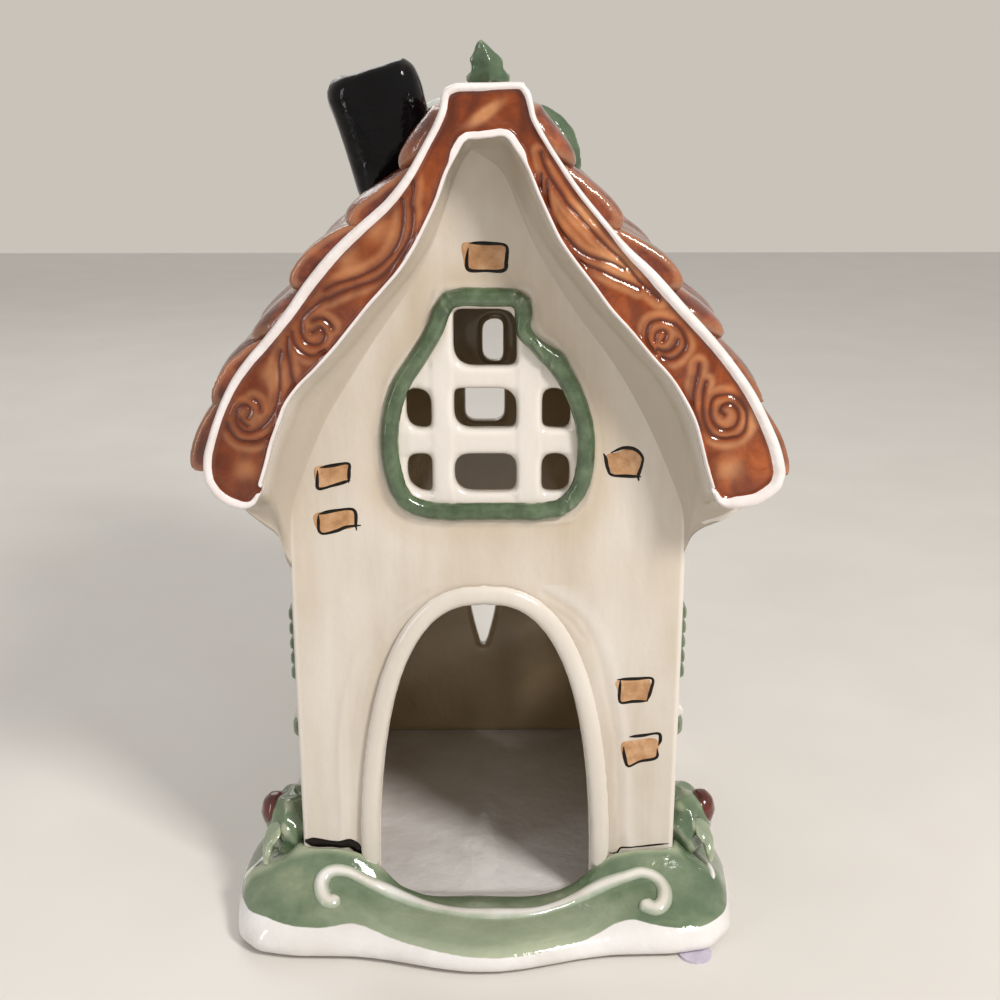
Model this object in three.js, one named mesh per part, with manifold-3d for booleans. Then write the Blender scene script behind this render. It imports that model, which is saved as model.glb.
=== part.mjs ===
// A ceramic cottage that holds a tealight. It is slip cast in pieces that are luted together, painted
// and clear glazed, so it has no moving part.
// Millimetres: X to the right, Y to the back, Z up from the table, the origin under the middle.

import * as THREE from "three";
import { mergeVertices } from "three/addons/utils/BufferGeometryUtils.js";
import Module from "manifold-3d";

const wasm = await Module();
wasm.setup();

// Walls
const SEAM = 0.3; // glaze line left between two luted pieces
const WALL_W = 105; // across the two side walls
const WALL_D = 108; // from the front wall's face to the back wall's
const WALL_T = 5;
const FRONT_Y = -46; // outer face of the front wall
const BACK_Y = FRONT_Y + WALL_D;

// Roof, whose sweep is the same at the front and the back
const ROOF_FOOT_Z = 137; // where the rims stop running down and turn under
const RIDGE_Z = 228.5; // flat top of the two bargeboards
const RIDGE_HALF = 8; // half the width of that flat top
const RIDGE_STEP = 6; // roof slabs below the bargeboards' top
const EAVE_OUT = 19.5; // rim's foot outside the side wall
const EAVE_DROP = 20; // depth of the coved eave below the rim's foot
const ROOF_T = 6;
const OVERHANG = 17; // bargeboard's face ahead of the wall
const BARGE_T = 6;
const BARGE_TOP = 7.5; // board's width beside the ridge block
const BARGE_FOOT = 17; // board's width at the foot
const BARGE_DROP = 10.5; // board's rounded foot below the rim's foot
const BARGE_RIM = 2.2; // raised white rim round the sunk panel
const BARGE_LIP = 1.2; // raised edge on the panel's inner side
const PANEL_SINK = 1.6;
const APEX_DROP = 12.5; // height of the ridge block, down to the opening's flat top
const APEX_HALF = 4.6; // half the width of that flat top
const SPLAY_TOP = 6; // how far the reveal runs in under the board, at the ridge
const SPLAY_FOOT = 14; // the same at the foot
const TILE_BED = 1.5; // bed of the tiles below the rim

// Tiles
const COURSES = 6;
const COURSE_GAUGE = 19; // from one row's butt to the next, down the slope
const FIRST_BUTT = 16; // first row's butt, down the rim from the ridge block
const TILE_W = 21.5;
const TILE_BUTT = 6.5; // thickness at the bulging butt
const TILE_HEAD = 1.2; // thickness at the head, under the row above
const TILE_LAP = 5;
const TILE_SCALLOP = 3.5; // how far a tile's middle hangs below its corners

// Doorway and front window
const DOOR_X = -1; // the house was finished by hand, so the doorway sits a little to the left
const DOOR_W = 60;
const DOOR_H = 91; // from the chamber's floor
const DOOR_POWER = 2.55; // squareness of the arch
const ROLL_W = 5.6; // roll moulding round the doorway
const ROLL_T = 2.2;
const WINDOW_Z = 118.3; // foot of the front window's frame
const FRAME_W = 4.6;
const FRAME_T = 2.4;

// Side windows, each with a frame, two open shutters, a sill and a planted box under it
const SIDE_WINDOW_Y = FRONT_Y + WALL_D / 2;
const SIDE_WINDOW_Z = 60; // foot of the opening
const SIDE_WINDOW_W = 28;
const SIDE_WINDOW_H = 38;
const MUNTIN = 4;
const SIDE_BAR_Z = 18; // crossbar above the foot
const SIDE_FRAME_W = 4.5;
const SIDE_FRAME_T = 2.8;
const SHUTTER_W = 13;
const SHUTTER_H = 27;
const SHUTTER_T = 4.6;
const SILL_T = 6.6;
const SILL_H = 5;
const BOX_H = 9;
const BOX_T = 5;

// Base
const FOOT_R = 4.5; // thin discs stuck under the base
const FOOT_T = 0.8;
const FLOOR_Z = 4; // chamber's floor
const BASE_X = -1.2; // the base sits a little to the left of the walls
const BASE_SIDE = 18.2; // garden beside the walls
const BASE_FRONT = 24.9;
const BASE_BACK = 16;
const BASE_SQUARE = 10; // squareness of its plan
const STEP_LOBE = 7.4; // how far the doorstep swells out of the front
const STEP_HALF = 39.5; // half the width of that swelling
const SKIRT_H = 7;
const BANK_Z = 21; // garden's height against the front wall, beside the door
const SIDE_BANK_Z = 25;
const BACK_BANK_Z = 16;
const STEP_RIM = 1.6; // how far the doorstep's brim rises round its dish
const LIP_R = 1.7; // raised scroll on the brim
const BERRY_R = 4.4;

// Chimney
const CHIMNEY_Y = -12;
const CHIMNEY_X = -23.4; // middle of the shaft where it comes out of the tiles
const CHIMNEY_DROP = 23.5; // from the bargeboards' top down to that place
const CHIMNEY_RISE = 26.5; // from there up to its mouth
const CHIMNEY_ROOT = 48; // from there down to the shaft's foot, which the roof trims away
const CHIMNEY_LEAN = 0.25; // how far it leans to the left, for each millimetre up
const CHIMNEY_W = 24; // across the mouth
const CHIMNEY_D = 21;
const CHIMNEY_TAPER = 0.86; // foot's width as a share of the mouth's
const CHIMNEY_WALL = 5;
const CHIMNEY_EDGE = 2; // rounding of its mouth

const house = new THREE.Group();
const V2 = (x, y) => new THREE.Vector2(x, y);
const V3 = (x, y, z) => new THREE.Vector3(x, y, z);

const glaze = {
  cream: { color: 0xd9cdb9, roughness: 0.16 },
  white: { color: 0xe6e0dc, roughness: 0.14 },
  windowGreen: { color: 0x5b7a5f, roughness: 0.15 },
  gardenGreen: { color: 0x67835f, roughness: 0.15 },
  leafGreen: { color: 0x5f7d62, roughness: 0.15 },
  rust: { color: 0x9a4414, roughness: 0.15 },
  tile: { color: 0x84391a, roughness: 0.15 },
  black: { color: 0x040406, roughness: 0.1 },
  berry: { color: 0x6b1f10, roughness: 0.15 },
  lilac: { color: 0xc9c0cf, roughness: 0.5 },
};

function add(name, shape, finish) {
  const geometry = shape.isBufferGeometry ? shape : geometryOf(shape);
  geometry.computeVertexNormals();
  const mesh = new THREE.Mesh(geometry, new THREE.MeshStandardMaterial({ ...glaze[finish], metalness: 0 }));
  mesh.name = name;
  house.add(mesh);
  return mesh;
}

// Solids for joining and cutting
function solidOf(geometry) {
  const bare = geometry.clone();
  bare.deleteAttribute("normal");
  bare.deleteAttribute("uv");
  const welded = mergeVertices(bare, 1e-4);
  return new wasm.Manifold(new wasm.Mesh({
    numProp: 3,
    vertProperties: Float32Array.from(welded.attributes.position.array),
    triVerts: Uint32Array.from(welded.index.array),
  }));
}

function geometryOf(solid) {
  const mesh = solid.getMesh();
  const geometry = new THREE.BufferGeometry();
  geometry.setAttribute("position", new THREE.BufferAttribute(mesh.vertProperties, 3));
  geometry.setIndex(new THREE.BufferAttribute(mesh.triVerts, 1));
  return geometry;
}

const boxSolid = (x0, x1, y0, y1, z0, z1) => solidOf(new THREE.BoxGeometry(x1 - x0, y1 - y0, z1 - z0)
  .translate((x0 + x1) / 2, (y0 + y1) / 2, (z0 + z1) / 2));

// Skin through rings of equal counts. Flat ends are closed by `flat`, which lays a ring's point in a
// plane, or with `fan` from their middle; without either the last ring joins the first.
function loft(rings, flat, fan = false) {
  const count = rings[0].length;
  const points = rings.flat();
  const faces = [];
  const spans = flat ? rings.length - 1 : rings.length;
  for (let k = 0; k < spans; k++) {
    const a = k * count;
    const b = ((k + 1) % rings.length) * count;
    for (let i = 0; i < count; i++) {
      const j = (i + 1) % count;
      faces.push(a + i, a + j, b + i, b + i, a + j, b + j);
    }
  }
  if (flat) {
    [[0, -1], [rings.length - 1, 1]].forEach(([k, side]) => {
      if (fan) {
        const middle = points.push(rings[k].reduce((sum, p) => sum.add(p), V3()).divideScalar(count)) - 1;
        for (let i = 0; i < count; i++) {
          const ends = [k * count + i, k * count + (i + 1) % count];
          faces.push(middle, ...(side > 0 ? ends : ends.reverse()));
        }
        return;
      }
      const plan = rings[k].map(flat);
      const turn = side * Math.sign(THREE.ShapeUtils.area(plan));
      for (const [p, q, r] of THREE.ShapeUtils.triangulateShape(plan, [])) {
        const way = Math.sign(THREE.ShapeUtils.area([plan[p], plan[q], plan[r]]));
        faces.push(...(way === turn ? [p, q, r] : [p, r, q]).map((n) => n + k * count));
      }
    });
  }
  let volume = 0;
  for (let n = 0; n < faces.length; n += 3) {
    const [p, q, r] = [points[faces[n]], points[faces[n + 1]], points[faces[n + 2]]];
    volume += p.dot(V3().crossVectors(q, r));
  }
  if (volume < 0) faces.reverse();
  const geometry = new THREE.BufferGeometry().setFromPoints(points);
  geometry.setIndex(faces);
  return geometry;
}

// Plate with an outline in the XZ plane, from y0 back to y1
function plateXZ(outline, y0, y1, holes = []) {
  const shape = new THREE.Shape(outline);
  shape.holes = holes.map((hole) => new THREE.Path(hole));
  return new THREE.ExtrudeGeometry(shape, { depth: y1 - y0, bevelEnabled: false })
    .rotateX(Math.PI / 2).translate(0, y1, 0);
}

// Half-round moulding that lies on a face: along `line`, with `across` in the face and `out` off it
const rollSection = [[-0.5, 0], [-0.46, 0.55], [-0.22, 1], [0.22, 1], [0.46, 0.55], [0.5, 0]];

function moulding(line, out, width, thick, closed) {
  const rings = line.map((point, i) => {
    const before = line[closed ? (i + line.length - 1) % line.length : Math.max(i - 1, 0)];
    const after = line[closed ? (i + 1) % line.length : Math.min(i + 1, line.length - 1)];
    const along = after.clone().sub(before).normalize();
    const across = V3().crossVectors(along, out).normalize();
    return rollSection.map(([a, b]) => point.clone()
      .addScaledVector(across, a * width).addScaledVector(out, b * thick));
  });
  if (closed) return loft(rings);
  const first = V3().subVectors(line[1], line[0]);
  const across = V3().crossVectors(first, out).normalize();
  return loft(rings, (p) => V2(p.dot(across), p.dot(out)));
}

// Box in the XZ plane with a radius for each corner, from the upper right one round to the left
function roundedBox(x0, x1, z0, z1, radii) {
  return radii.flatMap((radius, k) => [0, 1, 2, 3].map((i) => {
    const angle = (k + i / 3) * Math.PI / 2;
    const middle = [k === 0 || k === 3 ? x1 - radius : x0 + radius, k < 2 ? z1 - radius : z0 + radius];
    return V2(middle[0] + radius * Math.cos(angle), middle[1] + radius * Math.sin(angle));
  }));
}

// The sweep of the roof: a curve down the right-hand rim, in X and Z, and lines drawn inside it
const span = WALL_W / 2 + EAVE_OUT;
const rim = new THREE.SplineCurve([V2(RIDGE_HALF + 2.2, RIDGE_Z - 4),
  ...[[0.201, 0.852], [0.314, 0.728], [0.469, 0.604], [0.635, 0.472], [0.789, 0.326], [0.906, 0.197],
    [0.983, 0.066], [1, 0]].map(([u, v]) => V2(u * span, ROOF_FOOT_Z + v * (RIDGE_Z - ROOF_FOOT_Z)))]);
const rimLength = rim.getLength();

function rimPoint(t, inset) {
  const u = Math.min(t, 1);
  const along = rim.getTangentAt(u);
  const point = rim.getPointAt(u).addScaledVector(along, (t - u) * rimLength);
  return point.add(V2(along.y, -along.x).multiplyScalar(inset));
}

const boardWidth = (t) => BARGE_TOP + (BARGE_FOOT - BARGE_TOP) * t ** 0.6;
const revealWidth = (t) => boardWidth(t) + SPLAY_TOP + (SPLAY_FOOT - SPLAY_TOP) * t;
const slabTop = RIDGE_Z - RIDGE_STEP;
const slabInset = TILE_BED + ROOF_T;

const mirrored = (right) => [...right, ...right.map((p) => V2(-p.x, p.y)).reverse()];

// Rounded underside from (x1, foot) down and round to (x0, foot)
function footArc(x1, x0, drop, count = 6) {
  return Array.from({ length: count - 1 }, (_, i) => {
    const angle = (i + 1) / count * Math.PI;
    return V2((x1 + x0) / 2 + (x1 - x0) / 2 * Math.cos(angle), ROOF_FOOT_Z - drop * Math.sin(angle));
  });
}

// Closed inverted V between a line `inset` inside the rim and one `width(t)` inside it
function gableBand({ inset, top, apex, width, drop, steps = 12 }) {
  const outer = Array.from({ length: steps + 1 }, (_, i) => rimPoint(i / steps, inset))
    .map((p) => V2(p.x, Math.min(p.y, top - 1.6)));
  const inside = (t) => rimPoint(t, width(t));
  let start = 0;
  while (inside(start).x < APEX_HALF + 0.6 || inside(start).y > apex - 1.5) start += 0.005;
  const inner = Array.from({ length: steps + 1 }, (_, i) => inside(start + (1 - start) * (1 - i / steps)));
  return mirrored([V2(RIDGE_HALF - 1.5, top), V2(RIDGE_HALF + 0.8 - inset / 2, top - 1), ...outer,
    ...footArc(outer[steps].x, inner[0].x, drop), ...inner, V2(APEX_HALF, apex)]);
}

// Part of a line inside the rim, from x = xMax up to z = zMax
function slopeLine(inset, xMax, zMax, steps = 14) {
  const points = Array.from({ length: 81 }, (_, i) => rimPoint(1 - i / 80, inset));
  const at = (axis, value) => {
    const i = points.findIndex((p) => (axis === "x" ? p.x <= value : p.y >= value));
    const [p, q] = [points[i - 1], points[i]];
    return p.clone().lerp(q, (value - p[axis]) / (q[axis] - p[axis]));
  };
  const low = points[0].x > xMax ? at("x", xMax) : points[0];
  const high = at("y", zMax);
  const every = Math.round(80 / steps);
  return [low, ...points.filter((p, i) => i % every === 0 && p.x < low.x - 0.8 && p.y < high.y - 0.8), high];
}

const wallX = WALL_W / 2;
const gableTop = slabTop - ROOF_T - SEAM;
const wallFoot = FLOOR_Z + SEAM;
const gableOutline = mirrored([V2(wallX, wallFoot), ...slopeLine(slabInset + SEAM, wallX, gableTop)]);

// Front wall: the doorway, a superellipse cut off at the floor, and a window of seven lights
function doorArch(grow, count, z0 = FLOOR_Z) {
  const a = DOOR_W / 2 + grow;
  const h = DOOR_H + grow;
  return Array.from({ length: count + 1 }, (_, i) => {
    const angle = Math.PI * i / count;
    const [c, s] = [Math.cos(angle), Math.sin(angle)];
    return V2(DOOR_X + a * Math.sign(c) * Math.abs(c) ** (2 / DOOR_POWER), z0 + h * s ** (2 / DOOR_POWER));
  });
}

// Cut by hand, so each light has corners of its own: upper right, upper left, lower left, lower right
const paneColumns = [[-21, -14.3], [-8.7, 7.7], [14, 21.6]];
const paneRows = [[7.3, 18], [24.5, 35.4], [40.9, 55.9]].map((row) => row.map((z) => z + WINDOW_Z));
const panes = [[0, 0, [1.6, 2.2, 5, 1]], [1, 0, [3, 3.4, 4.4, 2.4]], [2, 0, [3, 2.6, 1.6, 2.8]],
  [0, 1, [3.4, 1.6, 3.6, 1.4]], [1, 1, [4.2, 1.2, 4, 1.6]], [2, 1, [3.6, 2.4, 1.4, 1.4]],
  [1, 2, [4.4, 1.8, 4.6, 1.6]]].map(([column, row, corners]) =>
  roundedBox(...paneColumns[column], ...paneRows[row], corners));

const arch = doorArch(0, 28);
arch[0].y = arch[28].y = wallFoot;
const frontOutline = [...gableOutline.slice(0, gableOutline.length - 1), V2(-wallX, wallFoot),
  ...arch.reverse()];
add("wall_front", plateXZ(frontOutline, FRONT_Y, FRONT_Y + WALL_T, panes), "cream");

// Back wall: two lights above each other, and a drop-shaped one near the floor
const backLights = [roundedBox(-1.6, 5.4, 140, 154, [1.6, 3.2, 3.2, 1.6]),
  roundedBox(-7.4, 5.8, 119.6, 134, [2.8, 2.8, 2.8, 2.8])];
const drop = Array.from({ length: 18 }, (_, i) => {
  const angle = i / 18 * 2 * Math.PI;
  return V2(-1.6 + 7 * Math.cos(angle) * (0.62 + 0.38 * Math.sin(angle)), 52 + 16 * Math.sin(angle));
});
add("wall_back", plateXZ(gableOutline, BACK_Y - WALL_T, BACK_Y, [...backLights, drop]), "cream");

// Side walls, between the front and the back wall, with an arched window of four lights in each
const underside = (x) => slopeLine(slabInset + SEAM, x, gableTop)[0].y;

function sideArch(grow, count = 12) {
  const half = SIDE_WINDOW_W / 2 + grow;
  const spring = SIDE_WINDOW_Z + SIDE_WINDOW_H - SIDE_WINDOW_W / 2;
  const top = Array.from({ length: count + 1 }, (_, i) => {
    const angle = Math.PI * i / count;
    return V2(SIDE_WINDOW_Y + half * Math.cos(angle), spring + half * Math.sin(angle));
  });
  const foot = SIDE_WINDOW_Z - grow;
  return [V2(SIDE_WINDOW_Y - half, foot), V2(SIDE_WINDOW_Y + half, foot), ...top];
}

const toX = new THREE.Matrix4().makeBasis(V3(0, 1, 0), V3(0, 0, 1), V3(1, 0, 0));
const throughX = (outline, x0, x1) => new THREE.ExtrudeGeometry(new THREE.Shape(outline),
  { depth: x1 - x0, bevelEnabled: false }).applyMatrix4(toX).translate(x0, 0, 0);

const inX = wallX - WALL_T;
const sideSection = [V2(inX, wallFoot), V2(wallX, wallFoot), V2(wallX, underside(wallX)),
  V2(inX, underside(inX))];
const sideTop = SIDE_WINDOW_Z + SIDE_WINDOW_H;
const windowHole = solidOf(throughX(sideArch(0), inX - 1, wallX + 1))
  .subtract(boxSolid(inX - 2, wallX + 2, SIDE_WINDOW_Y - MUNTIN / 2, SIDE_WINDOW_Y + MUNTIN / 2,
    SIDE_WINDOW_Z - 1, sideTop + 1))
  .subtract(boxSolid(inX - 2, wallX + 2, SIDE_WINDOW_Y - SIDE_WINDOW_W, SIDE_WINDOW_Y + SIDE_WINDOW_W,
    SIDE_WINDOW_Z + SIDE_BAR_Z - MUNTIN / 2, SIDE_WINDOW_Z + SIDE_BAR_Z + MUNTIN / 2));
const rightWall = solidOf(plateXZ(sideSection, FRONT_Y + WALL_T + SEAM, BACK_Y - WALL_T - SEAM))
  .subtract(windowHole);
add("wall_right", rightWall, "cream");
add("wall_left", rightWall.mirror([1, 0, 0]), "cream");

const sideFace = wallX + SEAM;
const onBothSides = (name, solid, finish) => {
  add(name.replace("SIDE", "right"), solid, finish);
  add(name.replace("SIDE", "left"), solid.mirror([1, 0, 0]), finish);
};
// Rounded strip on the side wall, `height` tall and `thick` off the wall, from y0 to y1
const strip = (y0, y1, z, height, thick) => solidOf(moulding([y0, y1].map((y) => V3(sideFace, y, z)),
  V3(1, 0, 0), height, thick, false));

const sideFrame = sideArch(SIDE_FRAME_W / 2).map((p) => V3(sideFace, p.x, p.y));
onBothSides("window_frame_SIDE", solidOf(moulding(sideFrame, V3(1, 0, 0), SIDE_FRAME_W, SIDE_FRAME_T, true)),
  "windowGreen");
const shutterNear = SIDE_WINDOW_W / 2 + SIDE_FRAME_W + SEAM;
const sillHalf = shutterNear + SHUTTER_W + 2;
for (const [end, name] of [[-1, "front"], [1, "back"]]) {
  const [y0, y1] = [SIDE_WINDOW_Y + end * shutterNear, SIDE_WINDOW_Y + end * (shutterNear + SHUTTER_W)];
  const [low, high] = [Math.min(y0, y1), Math.max(y0, y1)];
  const shutterX = sideFace + SHUTTER_T;
  const leaf = boxSolid(sideFace, shutterX - 1.4, low, high, SIDE_WINDOW_Z, SIDE_WINDOW_Z + SHUTTER_H);
  const slats = [0, 1, 2, 3, 4].map((i) => boxSolid(sideFace + 1, shutterX, low + 1.8, high - 1.8,
    SIDE_WINDOW_Z + 2 + i * (SHUTTER_H - 4) / 5, SIDE_WINDOW_Z + 2 + (i + 0.66) * (SHUTTER_H - 4) / 5));
  onBothSides(`shutter_SIDE_${name}`, slats.reduce((sum, slat) => sum.add(slat), leaf), "windowGreen");
}
const sillZ = SIDE_WINDOW_Z - SIDE_FRAME_W - SEAM - SILL_H / 2;
onBothSides("window_sill_SIDE",
  strip(SIDE_WINDOW_Y - sillHalf, SIDE_WINDOW_Y + sillHalf, sillZ, SILL_H, SILL_T), "white");
onBothSides("flower_box_SIDE", strip(SIDE_WINDOW_Y - sillHalf + 5, SIDE_WINDOW_Y + sillHalf - 5,
  sillZ - SILL_H / 2 - SEAM - BOX_H / 2, BOX_H, BOX_T), "leafGreen");

// Base: a garden mound with a white skirt, and a pocket in which the walls stand on the floor
const baseY0 = FRONT_Y - BASE_FRONT;
const baseY1 = BACK_Y + BASE_BACK;
const baseY = (baseY0 + baseY1) / 2;
const baseHalfX = wallX + BASE_SIDE;
const baseHalfY = (baseY1 - baseY0) / 2;
const blend = (value, low, high) => THREE.MathUtils.smoothstep(value, low, high);

function skirtPoint(angle) {
  const [c, s] = [Math.cos(angle), Math.sin(angle)];
  const reach = (Math.abs(c / baseHalfX) ** BASE_SQUARE + Math.abs(s / baseHalfY) ** BASE_SQUARE)
    ** (-1 / BASE_SQUARE);
  const point = V2(reach * c, reach * s);
  if (s < 0 && Math.abs(point.x) < STEP_HALF) {
    point.y -= STEP_LOBE * Math.cos(Math.PI / 2 * point.x / STEP_HALF) ** 2;
  }
  const scallop = 1.2 * Math.cos(12 * angle);
  if (Math.abs(c) > 0.75 || s > 0) point.addScaledVector(V2(c, s), scallop);
  return point.add(V2(BASE_X, baseY));
}

// Point on the pocket's edge that the same ray from the middle of the base meets
function pocketPoint(angle) {
  const [c, s] = [Math.cos(angle), Math.sin(angle)];
  const x = wallX + SEAM;
  const reach = Math.min(c > 0 ? (x - BASE_X) / c : Infinity, c < 0 ? (-x - BASE_X) / c : Infinity,
    s > 0 ? (BACK_Y + SEAM - baseY) / s : Infinity, s < 0 ? (FRONT_Y - SEAM - baseY) / s : Infinity);
  return V2(BASE_X + reach * c, baseY + reach * s);
}

// Height of the garden against the walls: a dish in front of the door, banks elsewhere
function bankHeight(p) {
  const dish = FLOOR_Z + 1 + (BANK_Z - FLOOR_Z - 1)
    * blend(Math.abs(p.x - DOOR_X), DOOR_W / 2 - 16, DOOR_W / 2 + 10);
  const toBack = blend(p.y, FRONT_Y, FRONT_Y + 20);
  const bank = SIDE_BANK_Z + 2 * Math.cos(p.y * 0.16);
  const back = blend(p.y, BACK_Y - 25, BACK_Y);
  return dish * (1 - toBack) + (bank * (1 - back) + BACK_BANK_Z * back) * toBack;
}

const baseAngles = [];
const pocketCorners = [[1, 1], [-1, 1], [-1, -1], [1, -1]].map(([i, j]) => Math.atan2(
  (j > 0 ? BACK_Y + SEAM : FRONT_Y - SEAM) - baseY, i * (wallX + SEAM) - BASE_X));
for (let i = 0; i < 66; i++) baseAngles.push(i / 66 * 2 * Math.PI - Math.PI);
for (const corner of pocketCorners) {
  const nearest = baseAngles.reduce((best, a, i) => (
    Math.abs(a - corner) < Math.abs(baseAngles[best] - corner) ? i : best), 0);
  baseAngles[nearest] = corner;
}

function baseRing(inset, share, height) {
  return baseAngles.map((angle) => {
    const edge = skirtPoint(angle);
    edge.addScaledVector(V2(BASE_X, baseY).sub(edge).normalize(), inset);
    const pocket = pocketPoint(angle);
    const plan = edge.clone().lerp(pocket, share);
    return V3(plan.x, plan.y, height(bankHeight(pocket)));
  });
}

const skirtTop = FOOT_T + SKIRT_H;
const rise = (share) => (bank) => skirtTop + (bank - skirtTop) * share
  + STEP_RIM * Math.sin(Math.PI * share) * (1 - blend(bank, FLOOR_Z + 1, BANK_Z - 6));
// Shares of the way in from the skirt to the wall, and of the rise there
const mound = [[0, 0.1], [0.4, 0.38], [0.7, 0.52], [0.9, 0.82], [1, 1]];

// Height of the garden at a point outside the walls
function groundZ(x, y) {
  const middle = V2(BASE_X, baseY);
  const angle = Math.atan2(y - baseY, x - BASE_X);
  const pocket = pocketPoint(angle);
  const [far, near] = [skirtPoint(angle), pocket].map((p) => p.distanceTo(middle));
  const share = THREE.MathUtils.clamp((far - V2(x, y).distanceTo(middle)) / (far - near), 0.001, 1);
  const k = mound.findIndex(([in0]) => in0 >= share);
  const [[in0, up0], [in1, up1]] = [mound[k - 1], mound[k]];
  return rise(up0 + (up1 - up0) * (share - in0) / (in1 - in0))(bankHeight(pocket));
}

const basePlinth = solidOf(loft([
  baseRing(1.4, 0, () => FOOT_T),
  baseRing(0.2, 0, () => FOOT_T + 1.2),
  baseRing(0, 0, () => FOOT_T + SKIRT_H * 0.6),
  baseRing(0.9, 0, () => skirtTop - 0.8),
  ...mound.map(([share, up], i) => baseRing(i ? 0 : 3, share, rise(up))),
  baseRing(0, 1, () => FLOOR_Z),
], true, true));
add("base_plinth", basePlinth, "gardenGreen");
const aboveBase = basePlinth.translate([0, 0, SEAM]);

// Thin discs under the corners. The one at the right of the front sticks out from under the skirt.
const feet = [["front_right", 56.6, -67.8], ["front_left", -55, -60],
  ["back_right", 55, 64], ["back_left", -55, 64]];
for (const [name, x, y] of feet) {
  add(`bumper_foot_${name}`, new THREE.CylinderGeometry(FOOT_R, FOOT_R, FOOT_T, 16).rotateX(Math.PI / 2)
    .translate(x, y, FOOT_T / 2), "lilac");
}

// Doorstep scroll: a raised lip along the brim, with a curl at each end. Its points are given across
// from the middle of the doorway, and ahead of the wall.
const jamb = DOOR_W / 2;
const lipPath = [[0, 16.5], [jamb * 0.53, 13.2], [jamb * 0.78, 9.8], [jamb + 0.5, 7.6], [jamb + 7, 6.2],
  [jamb + 12, 6.6], [jamb + 15.8, 9], [jamb + 16.4, 12.6], [jamb + 13.8, 15.6], [jamb + 11, 14.6]];
const onLip = (side) => ([across, ahead]) => {
  const [x, y] = [side * across, FRONT_Y - ahead];
  return V3(x, y, groundZ(x, y) + LIP_R / 2);
};
const lipCurve = new THREE.CatmullRomCurve3([
  ...lipPath.slice(1).reverse().map(onLip(-1)), ...lipPath.map(onLip(1))]);
const lip = new THREE.ExtrudeGeometry(new THREE.Shape(Array.from({ length: 6 }, (_, i) =>
  V2(LIP_R * Math.cos(i / 6 * 2 * Math.PI), LIP_R * Math.sin(i / 6 * 2 * Math.PI)))),
{ steps: 40, extrudePath: lipCurve, bevelEnabled: false });
add("doorstep_scroll", solidOf(lip).subtract(aboveBase), "white");

// Door surround, whose feet stand on the garden
const surround = doorArch(ROLL_W / 2, 30).map((p) => V3(p.x, FRONT_Y - SEAM, p.y));
surround.reverse();
const roll = solidOf(moulding(surround, V3(0, -1, 0), ROLL_W, ROLL_T, false));
add("door_surround", roll.subtract(aboveBase), "cream");

// Front window's frame: a hand-rolled strip, with its jog at the upper right
const framePoints = [[-9.6, 58.4], [0, 58.9], [8.4, 58.2], [9.6, 51.5], [12.4, 46], [16.8, 42.6], [21.4, 36],
  [25, 26], [25.4, 16], [23.6, 8.4], [18.4, 3.5], [0, 3], [-14, 3], [-21.6, 6], [-24.9, 16], [-25, 26],
  [-22.4, 36], [-17.8, 43.2], [-13.4, 50.4]].map(([x, z]) => V3(x, FRONT_Y - SEAM, WINDOW_Z + z));
const frameLine = new THREE.CatmullRomCurve3(framePoints, true, "centripetal").getPoints(44).slice(0, 44);
add("window_frame_front", moulding(frameLine.reverse(), V3(0, -1, 0), FRAME_W, FRAME_T, true),
  "windowGreen");

// Bargeboards with a sunk panel in a raised rim, and the splayed reveals behind them
const board = gableBand({
  inset: 0,
  top: RIDGE_Z,
  apex: RIDGE_Z - APEX_DROP,
  width: boardWidth,
  drop: BARGE_DROP,
});
const panel = gableBand({
  inset: BARGE_RIM,
  top: RIDGE_Z - BARGE_RIM,
  apex: RIDGE_Z - APEX_DROP + BARGE_LIP,
  width: (t) => boardWidth(t) - BARGE_LIP,
  drop: BARGE_DROP - BARGE_RIM,
});
const boardFace = FRONT_Y - OVERHANG;
const bargeboard = solidOf(plateXZ(board, boardFace, boardFace + BARGE_T))
  .subtract(solidOf(plateXZ(panel, boardFace - 1, boardFace + PANEL_SINK)));
add("bargeboard_front", bargeboard, "rust");

const revealFront = gableBand({
  inset: TILE_BED, top: slabTop, apex: slabTop - 7, width: boardWidth, drop: BARGE_DROP - TILE_BED });
const revealBack = gableBand({
  inset: TILE_BED, top: slabTop, apex: slabTop - 14, width: revealWidth, drop: EAVE_DROP });
const reveal = solidOf(loft([0, 1 / 3, 2 / 3, 1].map((turn) => revealFront.map((p, i) => {
  const angle = turn * Math.PI / 2;
  const q = p.clone().lerp(revealBack[i], 0.4 * turn + 0.6 * (1 - Math.cos(angle)));
  const y0 = boardFace + BARGE_T + SEAM;
  return V3(q.x, y0 + (FRONT_Y - SEAM - y0) * (0.4 * turn + 0.6 * Math.sin(angle)), q.y);
})), (p) => V2(p.x, p.z)));
add("gable_reveal_front", reveal, "cream");

const houseMiddle = FRONT_Y + WALL_D / 2;
const toBackGable = (solid) => solid.mirror([0, 1, 0]).translate([0, 2 * houseMiddle, 0]);
add("bargeboard_back", toBackGable(bargeboard), "rust");
add("gable_reveal_back", toBackGable(reveal), "cream");

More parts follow.
